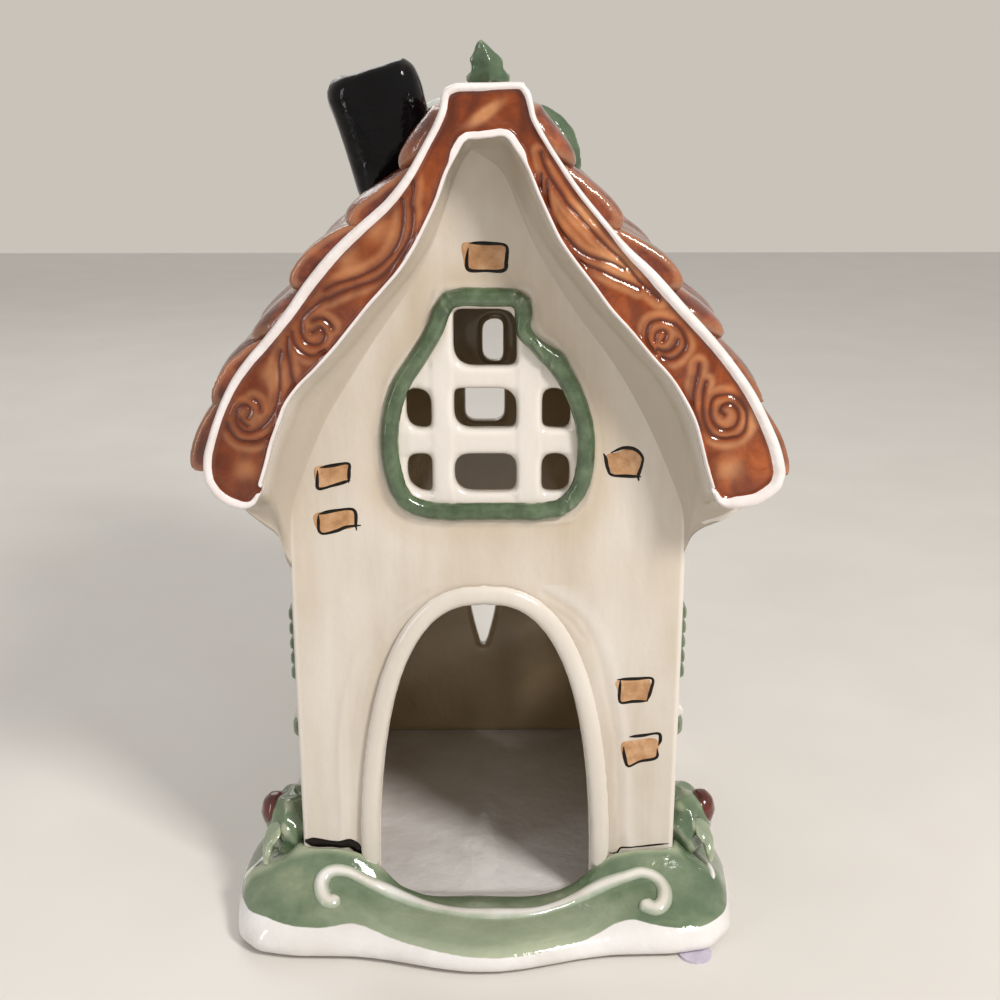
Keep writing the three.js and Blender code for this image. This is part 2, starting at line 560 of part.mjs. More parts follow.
// Roof slabs: each carries its tiles and ends in a coved eave outside the side wall
const bed = slopeLine(TILE_BED, span, slabTop).reverse();
const eaveX = wallX + SEAM;
const coveIn = rimPoint(1, revealWidth(1)).x;
const cove = footArc(rimPoint(1, TILE_BED).x, coveIn, EAVE_DROP, 12).filter((p) => p.x > eaveX + 0.8);
const lastCove = cove[cove.length - 1];
const slabSection = [V2(SEAM / 2, slabTop), ...bed, ...cove, V2(eaveX, lastCove.y - 0.1),
  ...slopeLine(slabInset, eaveX, slabTop - ROOF_T), V2(SEAM / 2, slabTop - ROOF_T)];
const roofRight = solidOf(plateXZ(slabSection, FRONT_Y, BACK_Y));

// Chimney: a leaning shaft, wider at its mouth, whose flue opens through the roof
const chimneyFoot = RIDGE_Z - CHIMNEY_DROP;
const chimneyMouth = chimneyFoot + CHIMNEY_RISE;
const shaftFoot = chimneyFoot - CHIMNEY_ROOT;

function shaft(grow, z0, z1, edge = 0) {
  const heights = [0, 0.4, 0.8].map((share) => [z0 + (z1 - CHIMNEY_EDGE - z0) * share, 0]);
  return loft([...heights, [z1 - edge, 0], ...(edge ? [[z1 - edge * 0.25, edge * 0.4], [z1, edge]] : [])]
    .map(([z, inset]) => {
      const along = (z - shaftFoot) / (chimneyMouth - shaftFoot);
      const taper = CHIMNEY_TAPER + (1 - CHIMNEY_TAPER) * along;
      const [a, b] = [CHIMNEY_W, CHIMNEY_D].map((size) => size / 2 * taper + grow - inset);
      return Array.from({ length: 16 }, (_, i) => {
        const angle = (i + 0.5) / 16 * 2 * Math.PI;
        const [c, s] = [Math.cos(angle), Math.sin(angle)];
        const wave = z > z1 - edge - 0.1 ? 1.1 * Math.cos(2 * angle + 0.6) - 1 : 0;
        return V3(CHIMNEY_X - (z - chimneyFoot) * CHIMNEY_LEAN + a * Math.sign(c) * Math.abs(c) ** 0.5,
          CHIMNEY_Y + b * Math.sign(s) * Math.abs(s) ** 0.5, z + wave);
      });
    }), (p) => V2(p.x, p.y));
}

const flue = solidOf(shaft(-CHIMNEY_WALL, shaftFoot, chimneyMouth + 4));
const leftSlab = roofRight.mirror([1, 0, 0]);
const aboveSlab = leftSlab.translate([0, 0, SEAM * 1.4]);
const ceiling = slopeLine(slabInset - 1, span, slabTop - ROOF_T + 0.5).map((p) => V2(-p.x, p.y));
const underRoof = solidOf(plateXZ([...ceiling, V2(0, slabTop - ROOF_T + 0.5), V2(0, ROOF_FOOT_Z - 10),
  V2(ceiling[0].x, ROOF_FOOT_Z - 10)], FRONT_Y, BACK_Y));
const stack = solidOf(shaft(0, shaftFoot, chimneyMouth, CHIMNEY_EDGE))
  .subtract(aboveSlab).subtract(underRoof).subtract(flue);
add("chimney", stack, "black");
add("roof_right", roofRight, "cream");
add("roof_left", leftSlab.subtract(flue), "cream");

// Tile courses: each row is one strip of domed tiles, scalloped along its butts, and laps the next
const tileY0 = boardFace + BARGE_T + SEAM;
const tileY1 = 2 * houseMiddle - tileY0;

function tileCourse(row) {
  const butt = (FIRST_BUTT + row * COURSE_GAUGE) / rimLength;
  const head = row === 0 ? 1.2 / rimLength : butt - (COURSE_GAUGE + TILE_LAP) / rimLength;
  const cover = head + (row === 0 ? 1 : TILE_LAP + TILE_SCALLOP / 2 + 0.4) / rimLength;
  const flare = row === COURSES - 1 ? 0.8 : 0;
  const bottom = 2 * SEAM + TILE_HEAD;
  const stations = Math.round((tileY1 - tileY0) / TILE_W) * 3;
  return loft(Array.from({ length: stations + 1 }, (_, i) => {
    const y = tileY0 + (tileY1 - tileY0) * i / stations;
    const dome = Math.sin(Math.PI * ((i + row + 1) % 3) / 3) ** 0.5; // each row starts a third of a tile on
    const thick = TILE_BUTT * (0.6 + 0.42 * dome);
    const end = butt + TILE_SCALLOP * (dome - 0.5) / rimLength;
    const lap = butt - (TILE_LAP + 3) / rimLength;
    return [[head, SEAM], [(head + lap) / 2, SEAM], [lap, SEAM], [lap + 1 / rimLength, bottom],
      [end, bottom + flare],
      [end + 1.2 / rimLength, (bottom + thick) * 0.55 + flare], [end - 2 / rimLength, thick * 0.94 + flare],
      [end - 6 / rimLength, thick + flare / 2], [cover, TILE_HEAD]]
      .map(([t, height]) => {
        const p = rimPoint(t, TILE_BED - height);
        return V3(p.x, y, p.y);
      });
  }), (p) => V2(p.x, p.z));
}

const roofSkin = [roofRight, leftSlab];
const shaftHole = solidOf(shaft(SEAM, shaftFoot, chimneyMouth + 1));
for (let row = 0; row < COURSES; row++) {
  const right = solidOf(tileCourse(row));
  const left = right.mirror([1, 0, 0]).subtract(shaftHole);
  add(`tiles_right_${row + 1}`, right, "tile");
  add(`tiles_left_${row + 1}`, left, "tile");
  roofSkin.push(right, left);
}

// Ridge cap: saddle tiles in one strip on top of the slabs
const capStations = Math.round((tileY1 - tileY0) / TILE_W) * 3;
const capBase = slabTop + SEAM;
const capTop = RIDGE_Z - 0.4;
const ridgeCap = solidOf(loft(Array.from({ length: capStations + 1 }, (_, i) => {
  const y = tileY0 + (tileY1 - tileY0) * i / capStations;
  const swell = Math.abs(Math.sin(Math.PI * i / 3));
  const w = RIDGE_HALF + 1.2 * (swell - 0.2);
  const top = capTop - 1.2 + 1.2 * swell;
  return [[-w, capBase], [w, capBase], [w + 0.6, capBase + 1.6], [w * 0.62, top - 0.8], [0, top],
    [-w * 0.62, top - 0.8], [-w - 0.6, capBase + 1.6]].map(([x, z]) => V3(x, y, z));
}), (p) => V2(p.x, p.z)));
add("ridge_cap", ridgeCap, "tile");
roofSkin.push(ridgeCap);

// Leaves: blades along a curve, `thick` in the middle, with an ivy leaf's lobed outline
const lobes = [[0, 0.4], [0.13, 0.9], [0.28, 1], [0.44, 0.7], [0.6, 0.76], [0.8, 0.4], [1, 0.07]];

function leaf(spine, across, wide, thick) {
  const curve = new THREE.CatmullRomCurve3(spine.map((p) => V3(...p)));
  return solidOf(loft(lobes.map(([u, lobe]) => {
    const side = V3(...across).normalize();
    const up = V3().crossVectors(curve.getTangentAt(u), side).normalize();
    const half = wide / 2 * lobe;
    const t = thick / 2 * (0.5 + 0.5 * Math.sin(Math.PI * u));
    return [[-half, 0], [-half * 0.5, t], [0, t * 0.5], [half * 0.5, t], [half, 0], [0, -t]]
      .map(([a, b]) => curve.getPointAt(u).addScaledVector(side, a).addScaledVector(up, b));
  }), true, true));
}

// Ivy over the ridge: one leaf stands on the cap and two lie on the tiles. Their points are given
// across from the ridge and below its top.
const onRidge = (points, y) => points.map(([x, below]) => [x, y, RIDGE_Z - below]);
const ridgeLeaves = {
  leaf_ridge_top: leaf(onRidge([[0.4, 2.6], [0.6, -2.4], [-0.2, -7], [-1.8, -11.4]], 16), [1, 0.25, 0],
    13.4, 5),
  leaf_ridge_right: leaf(onRidge([[9, 6.6], [16, 9.4], [22.6, 15.6], [25.8, 24.4]], 16), [0, 1, 0], 18, 7),
  leaf_ridge_left: leaf(onRidge([[-8, 5], [-14, 7.6], [-19.4, 12.6], [-22.4, 20]], 12), [0, 1, 0], 14, 6.6),
};
const skin = roofSkin.reduce((sum, solid) => sum.add(solid));
const raisedSkin = skin.translate([0, 0, SEAM * 1.5]);
for (const [name, solid] of Object.entries(ridgeLeaves)) {
  const parts = solid.subtract(skin.add(raisedSkin)).decompose();
  add(name, parts.reduce((a, b) => (a.volume() > b.volume() ? a : b)), "leafGreen");
}

// Corner shrubs: a lumpy clump on the garden, with a berry let into it and a leaf that hangs over the bank
function clump([x, y, z], radii) {
  const ball = new THREE.SphereGeometry(1, 14, 8).rotateX(Math.PI / 2);
  const { position } = ball.attributes;
  for (let i = 0; i < position.count; i++) {
    const p = V3().fromBufferAttribute(position, i);
    const lump = 1 + 0.1 * Math.sin(5 * p.y + 1) * Math.cos(4.4 * p.z) + 0.06 * Math.cos(7 * p.x + 2 * p.y);
    position.setXYZ(i, ...p.multiplyScalar(lump).toArray());
  }
  return solidOf(ball.scale(...radii).translate(x, y, z));
}

const shrubX = wallX + 5.6;
const shrubY = FRONT_Y + 13;
const berryX = wallX + 10.8;
const shrubZ = groundZ(shrubX, shrubY) + 6;
const ball = (grow) => solidOf(new THREE.SphereGeometry(BERRY_R + grow, 10, 7)
  .translate(berryX, shrubY + 1, shrubZ + 3));
const wallBlock = boxSolid(-wallX - SEAM, wallX + SEAM, FRONT_Y - SEAM, BACK_Y + SEAM, 0, SIDE_WINDOW_Z);
const hanging = (grow) => leaf([[8.4, 1, 4.6], [11, -1, 2.2], [12.4, -4, -1.6], [12.6, -7.5, -5.4]]
  .map(([x, y, z]) => [wallX + x, FRONT_Y + y, shrubZ + z]), [0.25, 1, 0.2], 10 + 2 * grow, 3.4 + 2 * grow);
const shrub = clump([shrubX, shrubY, shrubZ], [10, 16, 11]).subtract(wallBlock);
for (const [side, name] of [[1, "right"], [-1, "left"]]) {
  const place = (solid) => (side > 0 ? solid : solid.mirror([1, 0, 0]));
  const bush = place(shrub.subtract(ball(SEAM)).subtract(hanging(SEAM)));
  add(`shrub_${name}`, bush.subtract(aboveBase), "leafGreen");
  add(`berry_${name}`, place(ball(0)).subtract(aboveBase), "berry");
  add(`leaf_garden_${name}`, place(hanging(0)).subtract(aboveBase), "leafGreen");
}

export default house;
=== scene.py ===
import math

import bmesh
import bpy
import numpy as np
from mathutils.bvhtree import BVHTree
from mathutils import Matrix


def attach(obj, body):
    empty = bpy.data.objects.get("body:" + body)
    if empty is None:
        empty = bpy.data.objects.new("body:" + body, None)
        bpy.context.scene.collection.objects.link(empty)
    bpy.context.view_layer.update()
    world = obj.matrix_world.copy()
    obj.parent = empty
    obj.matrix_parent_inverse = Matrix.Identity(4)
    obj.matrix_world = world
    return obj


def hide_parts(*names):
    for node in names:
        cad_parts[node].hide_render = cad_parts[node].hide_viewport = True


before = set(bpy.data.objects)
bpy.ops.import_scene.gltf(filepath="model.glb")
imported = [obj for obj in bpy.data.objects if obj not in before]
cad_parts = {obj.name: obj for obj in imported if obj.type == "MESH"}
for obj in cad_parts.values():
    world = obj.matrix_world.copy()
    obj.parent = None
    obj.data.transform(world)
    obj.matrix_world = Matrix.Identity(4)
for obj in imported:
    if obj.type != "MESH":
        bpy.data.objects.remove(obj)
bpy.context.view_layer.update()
bpy.ops.object.select_all(action="DESELECT")

# X runs to the right, Y to the back and Z up from the table. The pieces are given in
# millimetres, the camera, the lamps and the table in metres.
MM = 0.001
WALL_FACE = -46.0
BOARD_FACE = -63.0
BOARD_BACK = -56.9
BACK_FACE = 62.0
MIRROR = 16.0  # the back gable repeats the front one, y becoming 16 - y


# Lines and fields in numbers

def through(points, step=0.5, closed=False):
    """Even points along a smooth curve through the given ones."""
    p = np.array(points, float)
    q = np.vstack([p[-1:], p, p[:2]]) if closed else np.vstack([2 * p[0] - p[1], p, 2 * p[-1] - p[-2]])
    out = []
    for a, b, c, d in zip(q[:-3], q[1:-2], q[2:-1], q[3:]):
        n = max(int(np.linalg.norm(c - b) / (step / 3)), 4)
        t = (np.arange(n) / n)[:, None]
        out.append(0.5 * (2 * b + (c - a) * t + (2 * a - 5 * b + 4 * c - d) * t ** 2
                          + (3 * b - a - 3 * c + d) * t ** 3))
    line = np.vstack(out + ([q[1:2]] if closed else [p[-1:]]))
    return evenly(line, max(int(length(line) / step), 2) + 1)[:-1 if closed else None]


def length(line):
    return np.linalg.norm(np.diff(line, axis=0), axis=1).sum()


def evenly(line, count):
    run = np.concatenate([[0], np.cumsum(np.linalg.norm(np.diff(line, axis=0), axis=1))])
    at = np.linspace(0, run[-1], count)
    return np.stack([np.interp(at, run, line[:, k]) for k in range(line.shape[1])], axis=1)


def distance(points, line):
    """Shortest distance from each point to a line of short steps."""
    best = np.full(len(points), 1e9)
    for a, b in zip(line[:-1], line[1:]):
        ab = b - a
        t = np.clip(((points - a) @ ab) / max(ab @ ab, 1e-12), 0, 1)
        best = np.minimum(best, np.linalg.norm(points - a - t[:, None] * ab, axis=1))
    return best


def soft_step(x, low, high):
    t = np.clip((x - low) / (high - low), 0, 1)
    return t * t * (3 - 2 * t)


def bell(x, middle, width):
    return np.exp(-((x - middle) / width) ** 2)


# Meshes

def remember(piece, name, values):
    layer = piece.data.attributes.new(name, "FLOAT", "POINT")
    layer.data.foreach_set("value", np.asarray(values, np.float32))


def coords(piece):
    flat = np.empty(len(piece.data.vertices) * 3, np.float32)
    piece.data.vertices.foreach_get("co", flat)
    return flat.reshape(-1, 3).astype(float) / MM


def move(piece, points):
    piece.data.vertices.foreach_set("co", (np.asarray(points) * MM).astype(np.float32).ravel())
    piece.data.update()


def vertex_normals(piece):
    normals = np.empty(len(piece.data.vertices) * 3, np.float32)
    piece.data.vertices.foreach_get("normal", normals)
    return normals.reshape(-1, 3).astype(float)


def mean_of_neighbours(piece):
    """A function that averages values over each vertex's neighbours."""
    edges = np.empty(len(piece.data.edges) * 2, np.int32)
    piece.data.edges.foreach_get("vertices", edges)
    a, b = edges.reshape(-1, 2).T
    total = len(piece.data.vertices)
    count = np.maximum(np.bincount(a, minlength=total) + np.bincount(b, minlength=total), 1)

    def mean(values):
        if values.ndim == 2:
            return np.stack([mean(column) for column in values.T], axis=1)
        return (np.bincount(a, values[b], total) + np.bincount(b, values[a], total)) / count

    return mean


def relax(piece, rounds, weight=1.0):
    """Rounds a piece off where the weight asks for it."""
    points = coords(piece)
    mean = mean_of_neighbours(piece)
    share = 0.6 * np.broadcast_to(weight, len(points))[:, None]
    for _ in range(rounds):
        points += share * (mean(points) - points)
    move(piece, points)


def find_hollows(piece):
    """Remembers how hollow (towards 1) or ridged (towards 0) the surface is: glaze pools in
    the hollows and runs thin over the ridges."""
    points = coords(piece)
    mean = mean_of_neighbours(piece)
    bend = ((mean(points) - points) * vertex_normals(piece)).sum(axis=1)
    for _ in range(6):
        bend = 0.5 * bend + 0.5 * mean(bend)
    size = np.percentile(np.abs(bend), 97) + 1e-6
    remember(piece, "hollow", np.clip(0.5 + 0.5 * bend / size, 0, 1))


def finish_piece(piece, finish, replaced=()):
    material, slot = finish
    piece.data.materials.clear()
    piece.data.materials.append(material)
    piece.data.polygons.foreach_set("use_smooth", [True] * len(piece.data.polygons))
    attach(piece, "root")
    if replaced:
        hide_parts(*replaced)


def link_piece(name, mesh, mend):
    """A new piece with this mesh, after it is mended."""
    shape = bmesh.new()
    shape.from_mesh(mesh)
    mend(shape)
    shape.to_mesh(mesh)
    shape.free()
    piece = bpy.data.objects.new(name, mesh)
    bpy.context.collection.objects.link(piece)
    return piece


def mesh_piece(name, points, faces):
    mesh = bpy.data.meshes.new(name)
    mesh.from_pydata([tuple(p) for p in np.asarray(points) * MM], [], [tuple(f) for f in faces])
    return link_piece(
        name, mesh, lambda shape: bmesh.ops.recalc_face_normals(shape, faces=shape.faces))


def skin(name, rings):
    """A piece with a skin over rings of equal counts, closed at both ends."""
    rings = np.asarray(rings)
    n, m = rings.shape[:2]
    faces = [(k * m + i, k * m + (i + 1) % m, (k + 1) * m + (i + 1) % m, (k + 1) * m + i)
             for k in range(n - 1) for i in range(m)]
    faces += [range(m), range(n * m - 1, (n - 1) * m - 1, -1)]
    return mesh_piece(name, rings.reshape(-1, 3), faces)


def copy_of(node, name):
    """A copy of a frame node's mesh with its corners merged."""
    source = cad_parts[node]
    mesh = source.data.copy()
    mesh.transform(source.matrix_world)
    mesh.materials.clear()
    return link_piece(
        name, mesh, lambda shape: bmesh.ops.remove_doubles(shape, verts=shape.verts, dist=1e-5))


def apply_modifier(piece, kind, **settings):
    bpy.ops.object.select_all(action="DESELECT")
    piece.select_set(True)
    bpy.context.view_layer.objects.active = piece
    modifier = piece.modifiers.new(kind.lower(), kind)
    for key, value in settings.items():
        setattr(modifier, key, value)
    bpy.ops.object.modifier_apply(modifier=modifier.name)


def cast(piece, voxel, rounds=5, warp=None, glaze=0.17):
    """Softens a piece as a plaster mould does, and lays a coat of glaze over it."""
    apply_modifier(piece, "REMESH", mode="VOXEL", voxel_size=voxel * MM, use_smooth_shade=True)
    apply_modifier(piece, "SMOOTH", iterations=rounds, factor=0.6)
    move(piece, coords(piece) + glaze * vertex_normals(piece))
    if warp:
        warp(piece)
    find_hollows(piece)
    return piece


def slump(piece):
    """The roof's feet slumped a little to the right in the firing."""
    points = coords(piece)
    points[:, 0] += 1.9 * (1 - soft_step(points[:, 2], 137, 165))
    move(piece, points)


# Shader wires, with arithmetic on them

class Wire:
    def __init__(self, paint, socket):
        self.paint, self.socket = paint, socket

    def maths(self, operation, *values):
        return self.paint.node("ShaderNodeMath", dict(enumerate(values)), operation=operation)

    def __add__(self, other):
        return self.maths("ADD", self, other)

    def __sub__(self, other):
        return self.maths("SUBTRACT", self, other)

    def __mul__(self, other):
        return self.maths("MULTIPLY", self, other)

    def __radd__(self, other):
        return self.maths("ADD", other, self)

    def __rsub__(self, other):
        return self.maths("SUBTRACT", other, self)

    def __rmul__(self, other):
        return self.maths("MULTIPLY", other, self)

    def __abs__(self):
        return self.maths("ABSOLUTE", self)

    def step(self, low, high):
        return self.paint.node("ShaderNodeMapRange", {"Value": self, "From Min": low, "From Max": high},
                               interpolation_type="SMOOTHSTEP")


def colour(code):
    """A screen colour such as d8cbb8 as a linear one."""
    parts = [int(code[i:i + 2], 16) / 255 for i in (0, 2, 4)]
    return tuple(c / 12.92 if c <= 0.04045 else ((c + 0.055) / 1.055) ** 2.4 for c in parts) + (1.0,)


class Paint:
    """One material under construction."""

    def __init__(self, name):
        self.material = bpy.data.materials.new(name)
        self.material.use_nodes = True
        self.tree = self.material.node_tree
        self.tree.nodes.clear()
        self.place = self.node("ShaderNodeTexCoord", out="Object")
        xyz = self.node("ShaderNodeSeparateXYZ", {0: self.place})
        self.x, self.y, self.z = [Wire(self, s) * (1 / MM) for s in xyz.socket.node.outputs]

    def node(self, kind, sockets=None, out=0, stops=None, **settings):
        node = self.tree.nodes.new(kind)
        for key, value in settings.items():
            setattr(node, key, value)
        if stops:
            ramp = node.color_ramp
            while len(ramp.elements) < len(stops):
                ramp.elements.new(0.5)
            for element, (at, code) in zip(ramp.elements, stops):
                element.position = at
                element.color = colour(code)
        for key, value in (sockets or {}).items():
            if isinstance(value, Wire):
                self.tree.links.new(value.socket, node.inputs[key])
            else:
                node.inputs[key].default_value = value
        return Wire(self, node.outputs[out])

    def noise(self, size, detail=2.0, shift=0.0, rough=0.5, stretch=(1, 1, 1), twist=0.0):
        """Noise whose blots are about `size` millimetres."""
        place = self.node("ShaderNodeVectorMath", {0: self.place, 1: tuple(1 / s for s in stretch)},
                          operation="MULTIPLY")
        place = self.node("ShaderNodeVectorMath", {0: place, 1: (shift, shift * 0.7, -shift)},
                          operation="ADD")
        return self.node("ShaderNodeTexNoise", {"Vector": place, "Scale": 1 / (size * MM), "Detail": detail,
                                                "Roughness": rough, "Distortion": twist})

    def ramp(self, value, *stops):
        return self.node("ShaderNodeValToRGB", {"Fac": value}, stops=stops)

    def mix(self, a, b, share):
        a, b = [colour(c) if isinstance(c, str) else c for c in (a, b)]
        return self.node("ShaderNodeMix", {0: share, 6: a, 7: b}, out=2, data_type="RGBA")

    def attribute(self, name):
        return self.node("ShaderNodeAttribute", out="Fac", attribute_name=name)

    def pooled(self, base, in_hollows, on_ridges):
        """Each coat is a colour, where it starts and is full, and its share."""
        hollow = self.attribute("hollow")
        for where, (code, start, full, share) in ((hollow, in_hollows), (1 - hollow, on_ridges)):
            base = self.mix(base, code, where.step(start, full) * share)
        return base

    def done(self, base, rough, bump=None, depth=0.3, coat=0.6, shine=0.5):
        sockets = {"Base Color": base, "Roughness": rough, "Specular IOR Level": shine,
                   "Coat Weight": coat, "Coat Roughness": 0.04}
        if bump is not None:
            sockets["Normal"] = self.node("ShaderNodeBump", {"Height": bump, "Strength": 1.0,
                                                             "Distance": depth * MM}, out="Normal")
        shader = self.node("ShaderNodeBsdfPrincipled", sockets)
        output = self.tree.nodes.new("ShaderNodeOutputMaterial")
        self.tree.links.new(shader.socket, output.inputs["Surface"])
        return self.material


def cream_glaze():
    p = Paint("cream glaze, brushed")
    wash = p.noise(26, 3, 0.1, stretch=(1, 1, 2.2))
    streak = p.noise(5, 4, 0.3, 0.6, stretch=(1, 1, 9))
    base = p.ramp(wash * 0.7 + streak * 0.3, (0.3, "bfb3a2"), (0.46, "cdc3b5"), (0.62, "d7cfc4"))
    warm = (p.z - 165).step(0, 50) * p.noise(14, 2, 0.7).step(0.35, 0.7)
    base = p.mix(base, "bdab90", warm * 0.35)
    blots = p.noise(7, 3, 0.4, stretch=(1, 1, 3))
    base = p.mix(base, "b9a07c", p.attribute("wash") * (0.05 + 0.55 * blots))
    base = p.mix(base, "dcd6cf", p.attribute("white") * 0.85)
    # Painted shade on the coves under the boards, a greyer tan where their shade attribute asks for it
    base = p.mix(base, "b0a494", p.attribute("shade") * 0.85)
    base = p.pooled(base, ("b39f86", 0.62, 1.0, 0.5), ("e4ddd4", 0.62, 0.95, 0.6))
    # Painted shade inside the chamber: the inner faces are painted a darker, warmer tan in place of the
    # cream, for the shade that falls there
    inside = (p.y + 43).step(0, 3) * (59.5 - p.y).step(0, 3) * (50 - abs(p.x)).step(0, 3)
    inner_shade = p.ramp(p.noise(30, 3, 0.9), (0.35, "a18a67"), (0.65, "b69e79"))
    base = p.mix(base, inner_shade, inside)
    bump = p.noise(9, 3, 0.2, stretch=(1, 1, 1.6)) * 0.8 + p.noise(1.6, 2) * 0.12
    return p.done(base, 0.13 + p.noise(18, 2) * 0.12, bump, 0.5)


def white_glaze():
    p = Paint("white glaze")
    base = p.ramp(p.noise(12, 3, 0.4), (0.32, "d3ccc2"), (0.5, "dfdad2"), (0.66, "e6e2de"))
    base = p.mix(base, "a39c86", p.attribute("hollow").step(0.6, 1.0) * 0.5)
    base = p.mix(base, "8fa086", p.attribute("green") * (0.4 + 0.8 * p.noise(5, 3, 0.7)))
    bump = p.noise(6, 3, 0.1)
    return p.done(base, 0.12 + p.noise(10, 2) * 0.1, bump, 0.35)


def green_glaze(name, dark="324430", mid="4a6047", pale="808e66", size=9.0):
    p = Paint(name)
    tone = p.noise(size, 4, 0.2, 0.6)
    base = p.ramp(tone, (0.26, dark), (0.48, mid), (0.7, "5f7355"), (0.84, pale))
    base = p.pooled(base, ("2f4433", 0.58, 1.0, 0.75), ("aab195", 0.68, 1.0, 0.4))
    bump = p.noise(5, 3, 0.1) + p.noise(1.2, 2) * 0.15
    return p.done(base, 0.12 + p.noise(12, 2) * 0.1, bump, 0.45)


def garden_glaze():
    """Green over the banks, bare white on the skirt's foot and on the chamber's floor."""
    p = Paint("garden glaze")
    tone = p.noise(15, 4, 0.2, 0.6)
    base = p.ramp(tone, (0.28, "4f6650"), (0.46, "677b5f"), (0.6, "808f74"), (0.76, "a3a78a"))
    streak = p.noise(3.2, 4, 0.5, 0.6, stretch=(4, 1, 1))
    base = p.mix(base, "959d7c", streak.step(0.5, 0.8) * 0.4)
    base = p.mix(base, "4c6044", (1 - p.attribute("pale")) * 0.4)
    base = p.mix(base, "abb39a", p.attribute("pale") * 0.6)
    base = p.pooled(base, ("3d5a43", 0.56, 1.0, 0.6), ("c0c4a8", 0.68, 1.0, 0.5))
    white = p.attribute("white") + (p.noise(4, 3, 0.3) - 0.5) * 0.35
    bare = p.ramp(p.noise(14, 3, 0.6), (0.32, "dcd8d4"), (0.66, "e8e5e3"))
    base = p.mix(base, bare, white.step(0.36, 0.64))
    bump = p.noise(5, 3, 0.1) + p.noise(1.2, 2) * 0.12
    return p.done(base, 0.1 + p.noise(12, 2) * 0.1, bump, 0.4)


def tile_glaze():
    p = Paint("rust tile glaze")
    tone = p.noise(8, 4, 0.6, 0.62)
    base = p.ramp(tone, (0.3, "481c10"), (0.46, "6c2c17"), (0.6, "8f4522"), (0.75, "b0683e"))
    base = p.pooled(base, ("56604f", 0.52, 0.8, 0.9), ("c08a64", 0.7, 1.0, 0.4))
    bump = p.noise(4, 3, 0.3) + p.noise(1.1, 2) * 0.15
    return p.done(base, 0.12 + p.noise(12, 2) * 0.12, bump, 0.5)


def board_glaze():
    p = Paint("carved board glaze")
    tone = p.noise(7, 4, 0.15, 0.6, twist=0.6)
    base = p.ramp(tone, (0.28, "602406"), (0.44, "77310a"), (0.58, "8f4111"), (0.72, "a35220"))
    # Darker towards the left, where the pale blotches are also fainter
    thick = 1 - p.x.step(-75, 45)
    base = p.mix(base, "511d05", thick * 0.5)
    pale = p.attribute("pale").step(0.08, 1.0) * (1.1 - 0.5 * thick)
    base = p.mix(base, "cf9262", pale * (0.3 + p.noise(4, 3, 0.5) * 0.75))
    base = p.mix(base, "511d05", p.attribute("pool").step(0.05, 0.95) * 0.85)
    rim = p.attribute("rim") + (p.noise(2.4, 3, 0.6) - 0.5) * 0.3
    white = p.ramp(p.noise(6, 3, 0.8), (0.35, "e0d6d2"), (0.65, "eae4e2"))
    base = p.mix(base, white, rim.step(0.38, 0.62))
    bump = p.noise(3.2, 3, 0.3) + p.noise(0.9, 2) * 0.12
    return p.done(base, 0.1 + p.noise(9, 2) * 0.1, bump, 0.3, coat=0.35, shine=0.4)


def black_glaze():
    p = Paint("black glaze")
    base = p.ramp(p.noise(8, 3), (0.35, "020204"), (0.7, "08080b"))
    base = p.mix(base, "2a2622", (1 - p.attribute("hollow")).step(0.8, 1.0) * 0.4)
    return p.done(base, 0.06 + p.noise(10, 2) * 0.06, p.noise(6, 3), 0.5, coat=0.05, shine=0.2)


def berry_glaze():
    p = Paint("berry red glaze")
    base = p.ramp(p.noise(4, 3), (0.3, "3a0f07"), (0.55, "5c1a0d"), (0.75, "7a2d1a"))
    return p.done(base, 0.1 + p.noise(6, 2) * 0.08, p.noise(3, 2), 0.2)


def pad_rubber():
    p = Paint("lilac pad")
    base = p.ramp(p.noise(2.5, 3), (0.3, "bdb3c4"), (0.7, "cfc8d6"))
    return p.done(base, 0.42 + p.noise(1.0, 2) * 0.1, p.noise(0.5, 2), 0.05, coat=0.0)


def brush_line():
    p = Paint("dark brush line")
    base = p.ramp(p.noise(2.2, 3), (0.3, "050404"), (0.6, "120b06"), (0.8, "2c1a0c"))
    return p.done(base, 0.12 + p.noise(3, 2) * 0.1, p.noise(2.5, 2), 0.1, coat=0.05, shine=0.25)


def brick_wash():
    p = Paint("tan brick wash")
    base = p.ramp(p.noise(3.5, 4, 0.2, 0.6), (0.3, "9c6e42"), (0.5, "b98a5e"), (0.7, "cba47c"))
    return p.done(base, 0.14 + p.noise(5, 2) * 0.1, p.noise(4, 2), 0.2)


# Each finish is a material and the slot it belongs to. The feet keep the slot of their node.
CREAM = cream_glaze(), "cream_glaze"
WHITE = white_glaze(), "white_glaze"
LEAF = green_glaze("leaf green glaze"), "leaf_green"
FRAME_GREEN = green_glaze("window green glaze", "2b3a27", "45583c", "68764f", 7), "window_green"
GARDEN = garden_glaze(), "garden_green"
BUSH = GARDEN[0], "leaf_green"
TILES = tile_glaze(), "tile_glaze"
BOARD = board_glaze(), "rust_glaze"
BLACK = black_glaze(), "black_glaze"
BERRY = berry_glaze(), "berry_red"
PAD = pad_rubber()
LINE = brush_line(), "black_glaze"
BRICK = brick_wash(), "tile_glaze"

# Camera, at the height and tilt that the photograph was taken from
camera = bpy.data.objects.new("camera", bpy.data.cameras.new("camera"))
camera.data.sensor_width = 36
camera.data.lens = 48.24
camera.data.clip_start = 0.01
camera.location = (0, -0.381, 0.229)
camera.rotation_euler = (math.radians(90 - 17.4), 0, math.radians(-0.556))
bpy.context.collection.objects.link(camera)
bpy.context.scene.camera = camera


# Studio: a pale table, soft lamps and a pale surround

